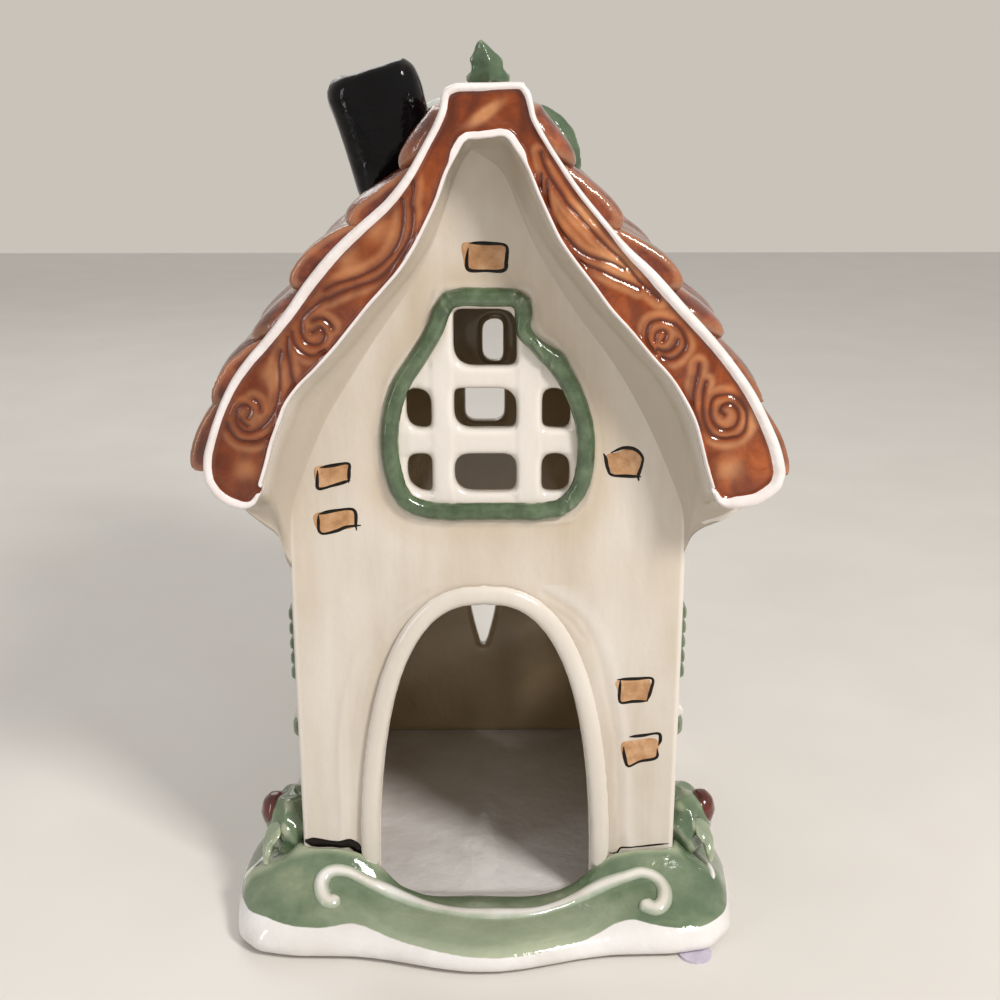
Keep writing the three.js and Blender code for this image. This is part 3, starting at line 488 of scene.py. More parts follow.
def lamp(name, place, aim, size, watts, shade="ffffff"):
    data = bpy.data.lights.new(name, "AREA")
    data.shape = "RECTANGLE"
    data.size, data.size_y = size
    data.energy = watts
    data.color = colour(shade)[:3]
    light = bpy.data.objects.new(name, data)
    light.location = place
    way = np.array(aim) - np.array(place)
    flat = math.hypot(way[0], way[1])
    light.rotation_euler = (math.atan2(flat, -way[2]), 0, math.atan2(way[1], way[0]) - math.pi / 2)
    bpy.context.collection.objects.link(light)


lamp("key", (0.5, -0.6, 0.72), (0, 0, 0.1), (0.2, 0.2), 7.9, "fffbf7")
lamp("fill", (-0.62, -0.5, 0.3), (0, 0, 0.12), (0.09, 0.5), 0.9, "f8f9ff")
lamp("rim", (-0.3, 0.7, 0.7), (0, 0, 0.12), (0.5, 0.5), 1.4)


def studio():
    bpy.ops.mesh.primitive_plane_add(size=3, location=(0, 0, 0))
    floor = bpy.context.object
    floor.name = "table"
    p = Paint("pale table")
    base = p.ramp(p.noise(60, 2), (0.3, "dcd7d1"), (0.7, "e0dcd6"))
    floor.data.materials.append(p.done(base, 0.4, coat=0.0))
    world = bpy.data.worlds.new("surround")
    bpy.context.scene.world = world
    world.use_nodes = True
    tree = world.node_tree
    tree.nodes.clear()
    path = tree.nodes.new("ShaderNodeLightPath")
    seen = path.outputs["Is Camera Ray"]
    for ray in ("Is Glossy Ray", "Is Transmission Ray"):
        either = tree.nodes.new("ShaderNodeMath")
        either.operation = "MAXIMUM"
        tree.links.new(seen, either.inputs[0])
        tree.links.new(path.outputs[ray], either.inputs[1])
        seen = either.outputs[0]
    mix = tree.nodes.new("ShaderNodeMixShader")
    tree.links.new(seen, mix.inputs[0])
    for i, shade, strength in ((1, "f2f0ec", 0.56), (2, "c9c3ba", 1.0)):
        pale = tree.nodes.new("ShaderNodeBackground")
        pale.inputs["Color"].default_value = colour(shade)
        pale.inputs["Strength"].default_value = strength
        tree.links.new(pale.outputs[0], mix.inputs[i])
    out = tree.nodes.new("ShaderNodeOutputWorld")
    tree.links.new(mix.outputs[0], out.inputs["Surface"])


studio()
bpy.context.scene.view_settings.view_transform = "Standard"


# Carved bargeboard

OUTER_LEFT = [(0.4, 228.5), (-6, 228.4), (-8.2, 227.9), (-9.8, 226.9), (-10.5, 225.3), (-10.8, 222.9),
              (-11.5, 221), (-12.9, 218.1), (-15.1, 214.3), (-18.9, 208.1), (-23.6, 202.4), (-29.1, 197.6),
              (-34.4, 193), (-38.8, 188.6), (-43.5, 183), (-48, 176.8), (-53.9, 169.6), (-58.2, 164.8),
              (-61.9, 159.9), (-64.6, 155), (-66.8, 150), (-68.7, 144.9), (-70.1, 139.9), (-70.2, 134.7),
              (-69.2, 132.2), (-67.4, 129.6), (-64.1, 127.4), (-60.8, 126.7), (-58.2, 127.8),
              (-56.7, 130.2)]
OUTER_RIGHT = [(0.4, 228.5), (7.6, 228.6), (9, 227.7), (10.1, 226.2), (10.8, 223.6), (11.5, 220.7),
               (14.1, 215.9), (17.6, 210.7), (21.6, 205.1), (26.4, 199.4), (33.2, 191.8), (40.5, 185.2),
               (47.9, 177.2), (55.4, 169.2), (61.6, 161.6), (65.6, 155.9), (69.1, 149.6), (72.2, 143.1),
               (74, 136.9), (73.8, 133.8), (72.7, 131.2), (68.5, 127.9), (64.6, 126.8), (60.5, 126.6),
               (57.6, 128), (56.2, 130.4)]
INNER_LEFT = [(-1.8, 216), (-4.7, 215.7), (-6.8, 212.5), (-9.2, 208.1), (-11.3, 202.4), (-14, 196.7),
              (-17.1, 190.9), (-20.5, 185.8), (-24.2, 181.6), (-28.1, 177.3), (-32.5, 172), (-36.5, 167.2),
              (-41.5, 161.8), (-45.3, 158.1), (-48.7, 153.7), (-50.8, 148.7), (-52.8, 143.6),
              (-54.3, 138.5), (-56, 133.4)]
INNER_RIGHT = [(-1.8, 216), (0.8, 216.3), (4.2, 216.5), (6.5, 213.7), (9.1, 209.6), (11.4, 204.2),
               (13.8, 199), (16.7, 193.2), (20.5, 187.8), (25.1, 182), (29.3, 176.5), (34.2, 171.2),
               (39.2, 165.3), (44.3, 159.7), (47.9, 154.2), (50.6, 148.9), (52.5, 142.9), (54, 137.5),
               (55.7, 132.3)]
# Places in the outer and inner lines, or points on them, that a row of the board's grid joins
ROWS_LEFT = [(0, 0), (3, 1), (8, 3), (11, 7), (14, 10), (17, 13), (21, 16), (23, 17), (26, (-55.4, 135.2)),
             (29, 18)]
ROWS_RIGHT = [(0, 0), (2, 2), (6, 4), (9, 8), (11, 11), (14, 14), (17, 16), (19, 17), (22, (55.1, 134.2)),
              (25, 18)]

# The scrolls cut into the front board, as a needle drew them
SCROLLS = [
    [(-42.1, 171.3), (-41.4, 171.5), (-40.7, 172.1), (-40.1, 172.4), (-39.6, 172), (-39.1, 171.2),
     (-39, 170.3), (-39.3, 169.5), (-39.9, 168.8), (-40.8, 168.3), (-41.7, 168.2), (-42.7, 168.4),
     (-43.6, 169), (-44.2, 170), (-44.5, 171.1), (-44.5, 172.5), (-44.4, 174), (-43.8, 175.2),
     (-42.8, 176.2), (-41.6, 177.2), (-40.1, 178.4), (-38.4, 179.4)],
    [(-41.7, 174.2), (-41, 174.4), (-40.1, 174.6), (-39.1, 174.4), (-38.2, 173.8), (-37.5, 173.1),
     (-37.2, 172.3)],
    [(-46.9, 171.3), (-46.7, 170.1), (-46.4, 168.9), (-45.9, 167.9), (-45.2, 167), (-44, 166.1),
     (-42.8, 165.6), (-41.6, 165.6), (-40.4, 166.1), (-39.2, 166.7)],
    [(-58.5, 150.5), (-57.9, 151.5), (-57.7, 152.5), (-58.4, 153.3), (-59.3, 153.5), (-60.3, 153.1),
     (-61.1, 152.3), (-61.4, 151.2), (-61.4, 150), (-61.1, 148.7), (-60.5, 147.7), (-59.7, 146.9),
     (-58.8, 146.6), (-57.8, 146.7), (-56.5, 147.2), (-55.3, 147.9), (-54, 149.1), (-53, 150.3),
     (-52, 151.9), (-51.3, 153.7), (-50.9, 155.4), (-50.5, 157.4), (-50.2, 160.9), (-50.2, 164),
     (-49.7, 166.7)],
    [(-60.4, 150), (-59.8, 149), (-58.7, 148.1)],
    [(-56.8, 154.8), (-55.9, 154.2), (-55.4, 153.2), (-55.3, 152.2)],
    [(-63.8, 148.7), (-63.3, 147.5), (-62.7, 146.3), (-61.8, 145.2), (-60.6, 144.4), (-59.1, 144.2),
     (-57.7, 144.1), (-56.2, 144.4), (-54.7, 145), (-53.4, 145.9), (-52.4, 147.2), (-51.3, 148.8),
     (-50.5, 150.7), (-49.7, 152.7), (-49, 154.7), (-48.3, 156.4), (-47.2, 158.4), (-47.5, 161),
     (-47.7, 164.1), (-48, 166.7), (-47.8, 170.2)],
    [(-19.7, 202.4), (-19.5, 199), (-19.8, 196), (-20.6, 193.2), (-21.8, 190.9), (-23.5, 188.8),
     (-25.7, 187), (-28.1, 185.6), (-30.5, 184.5), (-33.1, 183.7), (-35.9, 182.9), (-38.4, 181.6)],
    [(-17.2, 208.1), (-17.1, 204.7), (-17.6, 201.7), (-17.3, 199), (-17.6, 196), (-18.2, 193.7),
     (-19.2, 191.6), (-20.7, 189.3), (-22.1, 187.4), (-23.8, 185.6), (-25.7, 184.1), (-28.1, 183.1),
     (-30.8, 182.3), (-33.2, 181.4), (-35.3, 180.6), (-37.7, 179.4)],
    [(42.1, 165.1), (43.6, 164.5), (44.8, 164.6), (46, 165.2), (46.9, 166.1), (47.6, 167),
     (47.9, 168.5), (47.3, 170.4), (46.2, 172.1), (44.7, 173.2), (43.5, 173.6), (42.5, 173.9),
     (41.3, 174.1), (40.1, 173.9), (39.3, 173.5), (38.7, 172.6), (38.4, 171.4), (38.3, 170.2),
     (38.6, 169), (39.1, 168), (39.8, 167), (40.6, 166.2)],
    [(42.2, 169), (42.8, 169.7), (43, 170.6), (42.7, 171.4), (42, 171.6), (41.2, 171.4),
     (40.6, 170.7), (40.4, 169.8), (40.5, 169)],
    [(40.9, 167), (41.6, 166.7), (42.6, 166.5), (43.8, 166.7), (44.7, 167.3), (45.5, 168.2),
     (45.8, 169.2)],
    [(53, 158.9), (52.6, 156.7), (52.6, 154.7), (52.6, 152.7), (52.8, 150.7), (53.3, 148.7),
     (54.1, 146.9), (55.1, 145.6), (56.6, 144.9), (58.4, 144.6), (60.1, 144.9), (61.5, 145.2),
     (62.7, 146.1), (63.4, 147.6), (63.6, 149.7), (63.3, 151.7), (62.3, 153.4), (61.2, 154.7),
     (59.8, 155.5), (58.3, 155.8), (56.6, 155.6), (55.4, 155.1), (54.7, 154.1), (54.5, 152.7),
     (54.5, 151.2), (54.9, 149.7), (55.7, 148.4), (56.9, 147.4), (58.3, 146.9), (59.5, 147.1),
     (60.7, 147.9), (61.3, 149.2), (61.5, 150.7), (61, 152.1), (60.1, 153.1), (58.9, 153.6),
     (57.7, 153.2), (57, 152.4), (57.2, 151.4), (57.9, 150.8)],
    [(51.1, 163.4), (51, 160.9), (50.6, 158.9), (50.3, 156.9), (50.2, 154.7), (50.3, 152.5),
     (51, 150.2), (52.1, 147.9)],
    [(12.5, 213), (13.2, 210.3), (14.7, 207.4), (16.3, 205.1), (17.7, 203.1), (18.9, 201.3),
     (20.6, 199.6), (22.5, 197.6), (24.6, 195.3), (26.5, 193.2), (29, 190.9), (31.4, 188.8),
     (33.8, 186.2), (36.2, 183.4), (38.7, 181.2), (41.1, 179.1)],
    [(14, 206.9), (13.9, 203.5), (14.3, 200.8), (15, 198.5), (16.2, 196.7), (17.6, 194.8),
     (19.3, 193), (20.9, 191.3), (22.9, 189.9), (25.2, 188.9), (27.8, 188.3), (30.2, 187.5),
     (32.6, 186.2)],
    [(12.6, 208.1), (12.4, 204.7), (12.9, 201.7), (13.6, 199), (14.5, 196.9), (16, 194.8),
     (17.4, 192.7), (19.1, 190.6), (21, 188.8), (23.1, 187.4), (25.5, 186.4), (27.9, 185.5),
     (30.3, 184.3), (33.2, 183.1), (36.3, 181.7)],
]


def half_grid(outer, inner, rows, step):
    """Matching points down the two edges of half a board or cove."""
    lines, stops = [], []
    for edge, places in zip((outer, inner), zip(*rows)):
        line = through(edge, 0.1)
        spots = [edge[p] if isinstance(p, int) else p for p in places]
        lines.append(line)
        stops.append([int(np.argmin(np.linalg.norm(line - np.array(s), axis=1))) for s in spots])
    pairs = []
    for k in range(len(rows) - 1):
        spans = [line[at[k]:max(at[k + 1], at[k] + 1) + 1] for line, at in zip(lines, stops)]
        n = max(int(length(spans[0]) / step), 2)
        pairs.append(np.stack([evenly(span, n + 1)[:-1] for span in spans], axis=1))
    return np.vstack(pairs + [np.stack([line[-1:] for line in lines], axis=1)])


def fall(off, radius):
    """How far a rounded edge has dropped at a distance inside it, from 1 down to 0."""
    return 1 - np.sqrt(np.clip(1 - (np.clip(radius - off, 0, radius) / radius) ** 2, 0, 1))


def bargeboard(name, replaced, scrolls, step=0.3, flip=False):
    """A sunk panel, slightly domed, between a rolled rim outside and a thin lip inside."""
    left = half_grid(OUTER_LEFT, INNER_LEFT, ROWS_LEFT, step)
    right = half_grid(OUTER_RIGHT, INNER_RIGHT, ROWS_RIGHT, step)
    pairs = np.vstack([left[::-1], right[1:]])
    # The columns stand closer together near the two rolled edges
    off = 0.5 - np.linspace(0, 1, 46)
    share = (0.5 - 0.5 * np.sin(np.pi * off) * 0.35 - off * 0.65)[None, :, None]
    flat = pairs[:, :1] * (1 - share) + pairs[:, 1:] * share
    n, m = flat.shape[:2]
    points = flat.reshape(-1, 2)
    x, z = points.T
    to_outer, to_inner = [np.minimum(*[distance(points, through(half, 1.2)) for half in halves])
                          for halves in ((OUTER_LEFT, OUTER_RIGHT), (INNER_LEFT, INNER_RIGHT))]

    # The relief: how far each point stands out from the board's face
    rim_left = np.interp(z, [126, 150, 165, 185, 200, 215, 228], [2.6, 1.9, 2.2, 2.7, 2.2, 1.7, 1.9])
    rim_right = np.interp(z, [126, 135, 150, 165, 182, 195, 215, 228],
                          [3.4, 3.2, 2.6, 2.4, 2.7, 1.3, 1.1, 1.6])
    rim_width = rim_left + (rim_right - rim_left) * soft_step(x, -3, 4)
    rim_width *= 1 - 0.6 * (1 - soft_step(abs(x), 57, 62.5)) * (z < 134)
    half = rim_width / 2
    lip_width = 0.5 + 0.9 * soft_step(z, 210, 214)
    panel, lip_top = -1.3, -0.3
    roll = panel * np.where(to_outer < half, fall(to_outer, half),
                            soft_step(to_outer, half, rim_width + 1.3))
    past_lip = to_inner - lip_width
    lip = lip_top + (panel - lip_top) * np.where(past_lip < 0, fall(to_inner, 0.5),
                                                 soft_step(past_lip, 0, 1.4))
    a, b = np.clip(to_outer - rim_width, 0, 99), np.clip(past_lip - 0.4, 0, 99)
    dome = panel + 0.55 * np.clip(1 - ((a - b) / np.maximum(a + b, 1e-6)) ** 2, 0, 1) ** 0.8
    height = np.maximum.reduce([roll, lip, dome])
    inside = soft_step(to_outer, rim_width - 0.1, rim_width + 0.5) * soft_step(past_lip, 0.3, 0.8)
    groove = np.full(len(points), 99.0)
    for line in scrolls:
        groove = np.minimum(groove, distance(points, through(line, 0.5)))
    height += inside * (0.16 * bell(groove, 0.9, 0.4) - 0.36 * bell(groove, 0, 0.34))
    height += inside * (0.1 * np.sin(x * 0.31 + z * 0.17) + 0.08 * np.sin(z * 0.43))

    # A flat back, joined to the front all round
    front = np.stack([x, BOARD_FACE - height, z], axis=1)
    index = np.arange(n * m).reshape(n, m)
    quads = np.stack([index[:-1, :-1], index[1:, :-1], index[1:, 1:], index[:-1, 1:]], axis=-1)
    loop = np.concatenate([index[:, 0], index[-1, 1:], index[-2::-1, -1], index[0, -2:0:-1]])
    rear = front[loop]
    rear[:, 1] = BOARD_BACK
    behind = np.arange(len(front), len(front) + len(loop))
    sides = np.stack([loop, np.roll(loop, -1), np.roll(behind, -1), behind], axis=1)
    whole = np.vstack([front, rear])
    if flip:
        whole[:, 1] = MIRROR - whole[:, 1]
    board = mesh_piece(name, whole, [*quads.reshape(-1, 4), *sides, behind])

    # The glaze: dark where it pooled, pale where it ran thin or was wiped, white on rim and lip
    near_edge = np.minimum(to_outer - rim_width, (past_lip - 0.4) * 1.4)
    pool = 0.9 * bell(groove, 0, 0.33) + 0.2 * bell(groove, 0, 0.8) + 0.5 * bell(near_edge, 0.2, 1.1)
    pool += 0.75 * soft_step(z, 213, 219) * soft_step(abs(x - 0.3), 5.2, 8.4)
    pale = 0.6 * bell(groove, 1.7, 1.2) * (1 - 0.6 * bell(near_edge, 0, 1.5))
    pale += 1.2 * np.exp(-((x + 0.4 - (z - 221.6) * 1.1) / 2.4) ** 2 - ((z - 221.6) / 3.2) ** 2)
    for cx, cz, size in ((-26, 196, 4), (-33, 189, 3.5), (-52, 172, 3), (24, 199, 3.5), (31, 189, 4),
                         (45, 180, 3.5), (-52.5, 161, 3), (66, 150, 3), (60, 137, 4), (-60, 137, 3.5),
                         (36, 187, 3)):
        pale += 0.75 * np.exp(-(((x - cx) ** 2 + (z - cz) ** 2) / size ** 2))
    rim = np.maximum(1 - soft_step(to_outer, rim_width - 0.3, rim_width + 0.3),
                     1 - soft_step(past_lip, 0.15, 0.55))
    for layer, values, at_back in (("pool", inside * pool, 0), ("pale", inside * pale, 0), ("rim", rim, 1)):
        remember(board, layer, np.append(np.clip(values, 0, 1), np.full(len(loop), at_back)))
    finish_piece(board, BOARD, replaced)


# Where the cove under the board runs out on the wall, and how the board's inner edge meets it
COVE_LEFT = [(-4, 212.4), (-7, 206.9), (-9.4, 199.8), (-13.2, 188.9), (-20, 176.4), (-31.4, 158.6),
             (-37.6, 148.1), (-42.8, 137.5), (-48, 125.2), (-50.6, 117), (-52, 105)]
COVE_RIGHT = [(-4, 212.4), (3.2, 206.9), (6.2, 199.8), (10.7, 188.9), (18.3, 176.4), (30, 158.6),
              (36.6, 148.1), (42.1, 137.5), (47.8, 125.2), (50.6, 117.5), (52, 109)]
COVE_ROWS_LEFT = [(0, 0), (2, 1), (5, (-11, 194.5)), (8, (-18, 180)), (11, (-29, 162.5)),
                  (14, (-40, 143.5)), (17, 8), (18, 10)]
COVE_ROWS_RIGHT = [(0, 0), (2, (1, 209)), (3, 1), (6, (8.6, 193.5)), (9, (17, 178.5)), (12, (27.5, 162)),
                   (15, (39.5, 142.5)), (17, 8), (18, 10)]
# Round the roof's foot: the board's rounded end, and the end of the slab behind it
FOOT_LEFT = [[(-56, 133.4), (-56.9, 129.6), (-58.8, 127.4), (-61.4, 126.6), (-64.4, 127.2), (-67.2, 129.4),
              (-68.6, 132)],
             [(-52, 105), (-53.3, 107.6), (-54.2, 111.3), (-55.6, 114.6), (-59.2, 117.6), (-64.4, 122.6),
              (-68, 131)]]
FOOT_RIGHT = [[(55.7, 132.3), (56.6, 129.4), (58.4, 127.4), (61.4, 126.6), (65.6, 127), (69.4, 128.8),
               (72, 131.4)],
              [(52, 109), (52.9, 111.4), (54.2, 114), (57, 116.2), (62.4, 118.6), (68.6, 123.6),
               (71.8, 130)]]


def cove(name, replaced, flip=False):
    """The splayed band that leads from the board's inner edge into the wall."""
    halves = []
    for edge, wall, marks, foot, hub in (
            (INNER_LEFT, COVE_LEFT, COVE_ROWS_LEFT, FOOT_LEFT, (-61.6, 134)),
            (INNER_RIGHT, COVE_RIGHT, COVE_ROWS_RIGHT, FOOT_RIGHT, (62.6, 134))):
        slope = half_grid(edge, wall, marks, 1.0)
        around = np.stack([evenly(through(line, 0.3), 26) for line in foot], axis=1)
        side = np.vstack([slope[:-1], around])
        way = side[:, 0] - side[:, 1]
        core = side[:, 0] + 6 * way / np.linalg.norm(way, axis=1)[:, None]
        turned = soft_step(np.arange(len(side)), len(slope) - 8, len(slope) + 6)[:, None]
        core = core * (1 - turned) + np.array(hub) * turned
        halves.append(np.concatenate([side, core[:, None]], axis=1))
    rows = np.vstack([halves[0][::-1], halves[1][1:]])
    steps = 18
    y0, y1 = BOARD_BACK - 0.15, WALL_FACE + 0.04
    rings = []
    for edge, wall, core in rows:
        ring = [(core[0], y0, core[1])]
        for k in range(steps + 1):
            turn = k / steps * math.pi / 2
            flat = edge + (wall - edge) * (1 - math.cos(turn))
            ring.append((flat[0], y0 + (y1 - y0) * math.sin(turn), flat[1]))
        rings.append(ring + [(core[0], y1 - 0.1, core[1])])
    rings = np.array(rings)
    if flip:
        rings[..., 1] = MIRROR - rings[..., 1]
    piece = skin(name, rings)
    share = np.clip((np.arange(steps + 3) - 1) / steps, 0, 1)
    ridge = 0.5 - 0.42 * (1 - soft_step(share, 0.0, 0.22)) + 0.1 * bell(share, 0.72, 0.2)
    remember(piece, "hollow", np.tile(ridge, len(rings)))
    remember(piece, "wash", np.tile(0.8 * bell(share, 0.8, 0.25), len(rings)))
    remember(piece, "white", np.tile(1 - soft_step(share, 0.1, 0.5), len(rings)))
    # Painted shade: the cove is painted greyer over its middle, the left half fading out towards the wall,
    # the right half, turned from the light, painted dark nearly to the wall
    right = soft_step(rows[:, 0, :1], -4, 6)
    left_end, right_end = 0.8 * soft_step(share, 0.8, 1), 0.5 * soft_step(share, 0.97, 1)
    shade = soft_step(share, 0.06, 0.45) * (1 - left_end * (1 - right) - right_end * right)
    remember(piece, "shade", shade.ravel())
    finish_piece(piece, CREAM, replaced)


def eave_fillet(name, curve, side):
    """Slip run into the corner under the eave, from front to back."""
    low = through([(side * a, b) for a, b in curve], 0.8)
    section = np.vstack([low, [(side * 60, 121), (side * 51, 119), (side * 51, curve[0][1] + 0.4)]])
    wave = 0.35 * bell(np.arange(len(section)), 4, 5)
    rings = [[(x + side * w, y, z - w) for (x, z), w in zip(section, wave * math.sin(y * 0.13))]
             for y in np.linspace(WALL_FACE + 0.3, BACK_FACE - 0.3, 28)]
    piece = skin(name, rings)
    remember(piece, "hollow", np.full(len(piece.data.vertices), 0.5))
    finish_piece(piece, CREAM)


eave_fillet("left_eave_fillet", [(52.3, 104.6), (53.3, 107.4), (54.2, 111.2), (55.6, 114.6),
                                 (59.2, 117.6)], -1)
eave_fillet("right_eave_fillet", [(52.3, 108.8), (52.9, 111.4), (54.2, 114), (57, 116.2),
                                  (60.6, 117.8)], 1)
bargeboard("carved_board_front", ["bargeboard_front"], SCROLLS)
bargeboard("board_back", ["bargeboard_back"], [], 0.6, flip=True)
cove("front_cove", ["gable_reveal_front"])
cove("back_cove", ["gable_reveal_back"], flip=True)


# What the maker's hands left on the walls and the garden

WINDOW_OUTER = [(-10, 179.2), (8.2, 179.2), (11, 178.2), (11.5, 173.9), (13.3, 168.4), (17.2, 165.6),
                (22.3, 158.6), (26.4, 148.2), (27.9, 137.5), (26.8, 126.7), (23.8, 120.6), (19.1, 118.4),
                (2, 118.2), (-15.2, 118.6), (-21.7, 120.8), (-26, 126.8), (-27.9, 135), (-27.7, 143),
                (-26.2, 150.9), (-24.2, 157.4), (-19.5, 163.8), (-14.9, 170.2), (-12.8, 176.5)]
JAMB_LEFT = [(-39, 18), (-37.4, 26), (-37.4, 42), (-37, 54.4), (-34.5, 69.6), (-30.7, 81.5), (-25, 90.2),
             (-16, 97)]
JAMB_RIGHT = [(36.8, 18), (35.1, 25.6), (34.7, 41.6), (33.8, 54), (31.2, 69.3), (28.2, 81.2), (23.5, 90),
              (14, 97)]


def inside_of(points, line):
    """Whether each point lies inside a closed line."""
    x, z = points.T
    odd = np.zeros(len(points), bool)
    for (x0, z0), (x1, z1) in zip(line, np.roll(line, -1, axis=0)):
        if z0 != z1:
            odd ^= ((z0 > z) != (z1 > z)) & (x < (x1 - x0) * (z - z0) / (z1 - z0) + x0)
    return odd


def hand_finish(piece):
    """Lattice bars, the bed under the window's moulding and the ridges beside the doorway."""
    points = coords(piece)
    front = soft_step(-points[:, 1], 43.5, 45.2)
    flat = points[:, [0, 2]]
    x, z = flat.T
    outline = through(WINDOW_OUTER, 1.2, closed=True)
    reach = distance(flat, outline)
    inner = inside_of(flat, outline)
    signed = np.where(inner, -reach, reach)
    lattice = 1 - soft_step(signed, -6.5, -4.5)
    relax(piece, 7, lattice)
    points = coords(piece)
    bars = np.maximum.reduce([1 - soft_step(abs(x - at), half - 0.5, half + 0.4)
                              for at, half in ((-11.5, 2.9), (10.8, 3.2))])
    rails = np.maximum.reduce([1 - soft_step(abs(z - at), half - 0.5, half + 0.4)
                               for at, half in ((139.4, 3.2), (156.4, 3.0))])
    raised = -0.55 * lattice + 0.5 * lattice * np.maximum(bars, 0.55 * rails)
    raised += 0.4 * bell(signed, 0.35, 0.8) * (signed > -2)
    raised -= 0.35 * np.exp(-((x + 30) ** 2 + (z - 124) ** 2) / 30)
    for jamb, strength in ((JAMB_LEFT, 0.42), (JAMB_RIGHT, 0.3)):
        off = distance(flat, through(jamb, 1.2))
        off = np.where(abs(x + 1) > np.interp(z, [18, 54, 81, 97], [38, 36, 30, 15]), off, 0)
        low = 1 - soft_step(z, 62, 96)
        raised += strength * low * bell(off, 4.0, 1.2) - 0.2 * bell(off, 1.2, 0.8) * (off > 0)
    raised += 0.12 * np.sin(x * 0.13 + 1) * np.sin(z * 0.11) * (1 - soft_step(abs(x), 30, 46))
    points[:, 1] -= front * raised
    move(piece, points)
    wash = 0.9 * bell(signed, 2.5, 5) * (signed > 0) + 0.5 * bell(z, 104, 9) * bell(x, 8, 30)
    wash += 0.6 * bell(abs(x), 50, 4) * soft_step(z, 60, 100) + 0.5 * bell(off, 2, 3) * (z < 100)
    remember(piece, "wash", np.clip(wash * (1 - lattice), 0, 1) * front)
    remember(piece, "white", np.clip(lattice + 0.6 * bell(off, 4, 2.5) * (z < 100), 0, 1) * front)


def window_joints(piece):
    """The moulding was laid by hand in lengths, and their ends still show."""
    points = coords(piece)
    flat = points[:, [0, 2]]
    cuts = [[(-11.6, 179.4), (-8.6, 174.2)], [(8.6, 179.4), (5.6, 174.2)], [(11.2, 170.4), (14.8, 160)],
            [(20.2, 125.8), (20.8, 118)]]
    for line in cuts:
        off = distance(flat, np.array(line, float))
        points[:, 1] += 0.35 * bell(off, 0, 0.45) - 0.1 * bell(off, 1.3, 0.6)
    points[:, 1] += 0.12 * np.sin(points[:, 0] * 0.9) * np.sin(points[:, 2] * 0.7)
    right = soft_step(points[:, 0], 6, 10)
    points[:, 0] += right * (1.3 * bell(points[:, 2], 163, 2.6) - 1.1 * bell(points[:, 2], 169.4, 2.6))
    move(piece, points)


def garden_zones(piece):
    """White skirt with a waved upper edge, and the white floor of the chamber."""
    relax(piece, 45, 0.35 + 0.65 * soft_step(coords(piece)[:, 2], 3, 8))
    points = coords(piece)
    points[:, 0] *= 1 - 0.1 * soft_step(points[:, 1], -30, 15) * soft_step(abs(points[:, 0]), 48, 60)
    bank = bell(points[:, 1], -48, 5) * soft_step(abs(points[:, 0]), 24, 33)
    bank *= soft_step(points[:, 2], 6, 10)
    points[:, 2] += (2.1 - 0.5 * np.sign(points[:, 0])) * bank
    move(piece, points)
    x, y, z = points.T
    turn = np.arctan2(y, x + 1.2)
    hem = through([(-74, 7.5), (-63, 9.8), (-54, 9.2), (-46, 8.9), (-38, 9.1), (-31, 8.2), (-24, 7.2),
                   (-10, 6.3), (3, 5.8), (14, 5.9), (25, 6.7), (33, 8.4), (39, 9.4), (44, 9.1),
                   (55, 8.1), (61, 8), (74, 7)])
    front = np.interp(x, hem[:, 0], hem[:, 1])
    other = 7.2 + 1.6 * np.sin(turn * 9 + 1)
    edge = other + (front - other) * soft_step(-y, 40, 55)
    white = 1 - soft_step(z, edge - 0.5, edge + 0.5)
    floor_front = 47.7 - 7.5 * (x / 28) ** 2
    floor = soft_step(floor_front + y, -0.4, 0.5) * (1 - soft_step(abs(x), 46, 47))
    floor *= (1 - soft_step(y, 56, 57)) * (1 - soft_step(z, 7, 9))
    remember(piece, "white", np.maximum(white, floor))
    remember(piece, "pale", soft_step(-y, 50, 63) * (1 - soft_step(abs(x), 22, 46)))


def surface_of(name):
    return BVHTree.FromObject(bpy.data.objects[name], bpy.context.evaluated_depsgraph_get())


def on_wall(flat, above):
    """Points just off the front wall's face, at the given (x, z) places."""
    hits = [front_wall.ray_cast((x * MM, -0.08, z * MM), (0, 1, 0))[0] for x, z in flat]
    return np.array([(x, (hit.y / MM if hit else WALL_FACE) - above, z) for (x, z), hit in zip(flat, hits)])


def squeeze(piece, middle, size, shift=(0, 0, 0)):
    """Shrinks or swells a piece about a middle given for the right side, and shifts it."""
    points = coords(piece)
    flip = np.array([np.sign(points[:, 0].mean()), 1, 1])
    middle, shift = middle * flip, shift * flip
    move(piece, middle + (points - middle) * size + shift)


def bush(piece):
    """A bush of soft lumps, pressed into the corner of wall and bank."""
    relax(piece, 16)
    squeeze(piece, (52.2, -30, 14.6), (0.8, 0.76, 0.87))
    points = coords(piece)
    x, y, z = points.T
    lumps = np.sin(x * 0.9 + z * 0.5) * np.sin(y * 0.62 + 1) + 0.6 * np.sin(z * 0.85 + y * 0.3)
    move(piece, points + (0.55 * lumps)[:, None] * vertex_normals(piece))


def berry(piece):
    squeeze(piece, (63.3, -32, 25.6), (0.98, 1.15, 1.3), (-1.2, -1, -0.4))


def hanging_leaf(piece):
    """A leaf laid against the bank."""
    relax(piece, 6)
    squeeze(piece, (63.5, -48, 22.5), (1, 0.9, 0.9), (-1.8, 4.6, -1.6))
    count = len(piece.data.vertices)
    remember(piece, "white", np.zeros(count))
    remember(piece, "pale", np.full(count, 0.7))


def sill(piece):
    squeeze(piece, (52.8, 8, 52.7), (0.62, 1, 0.95))


def soft_roll(piece):
    """The roll round the doorway is wide and low, and whiter than the wall."""
    relax(piece, 18)
    points = coords(piece)
    move(piece, points + 0.2 * vertex_normals(piece))
    remember(piece, "white", 0.4 * soft_step(-points[:, 1], 45.5, 47.3))


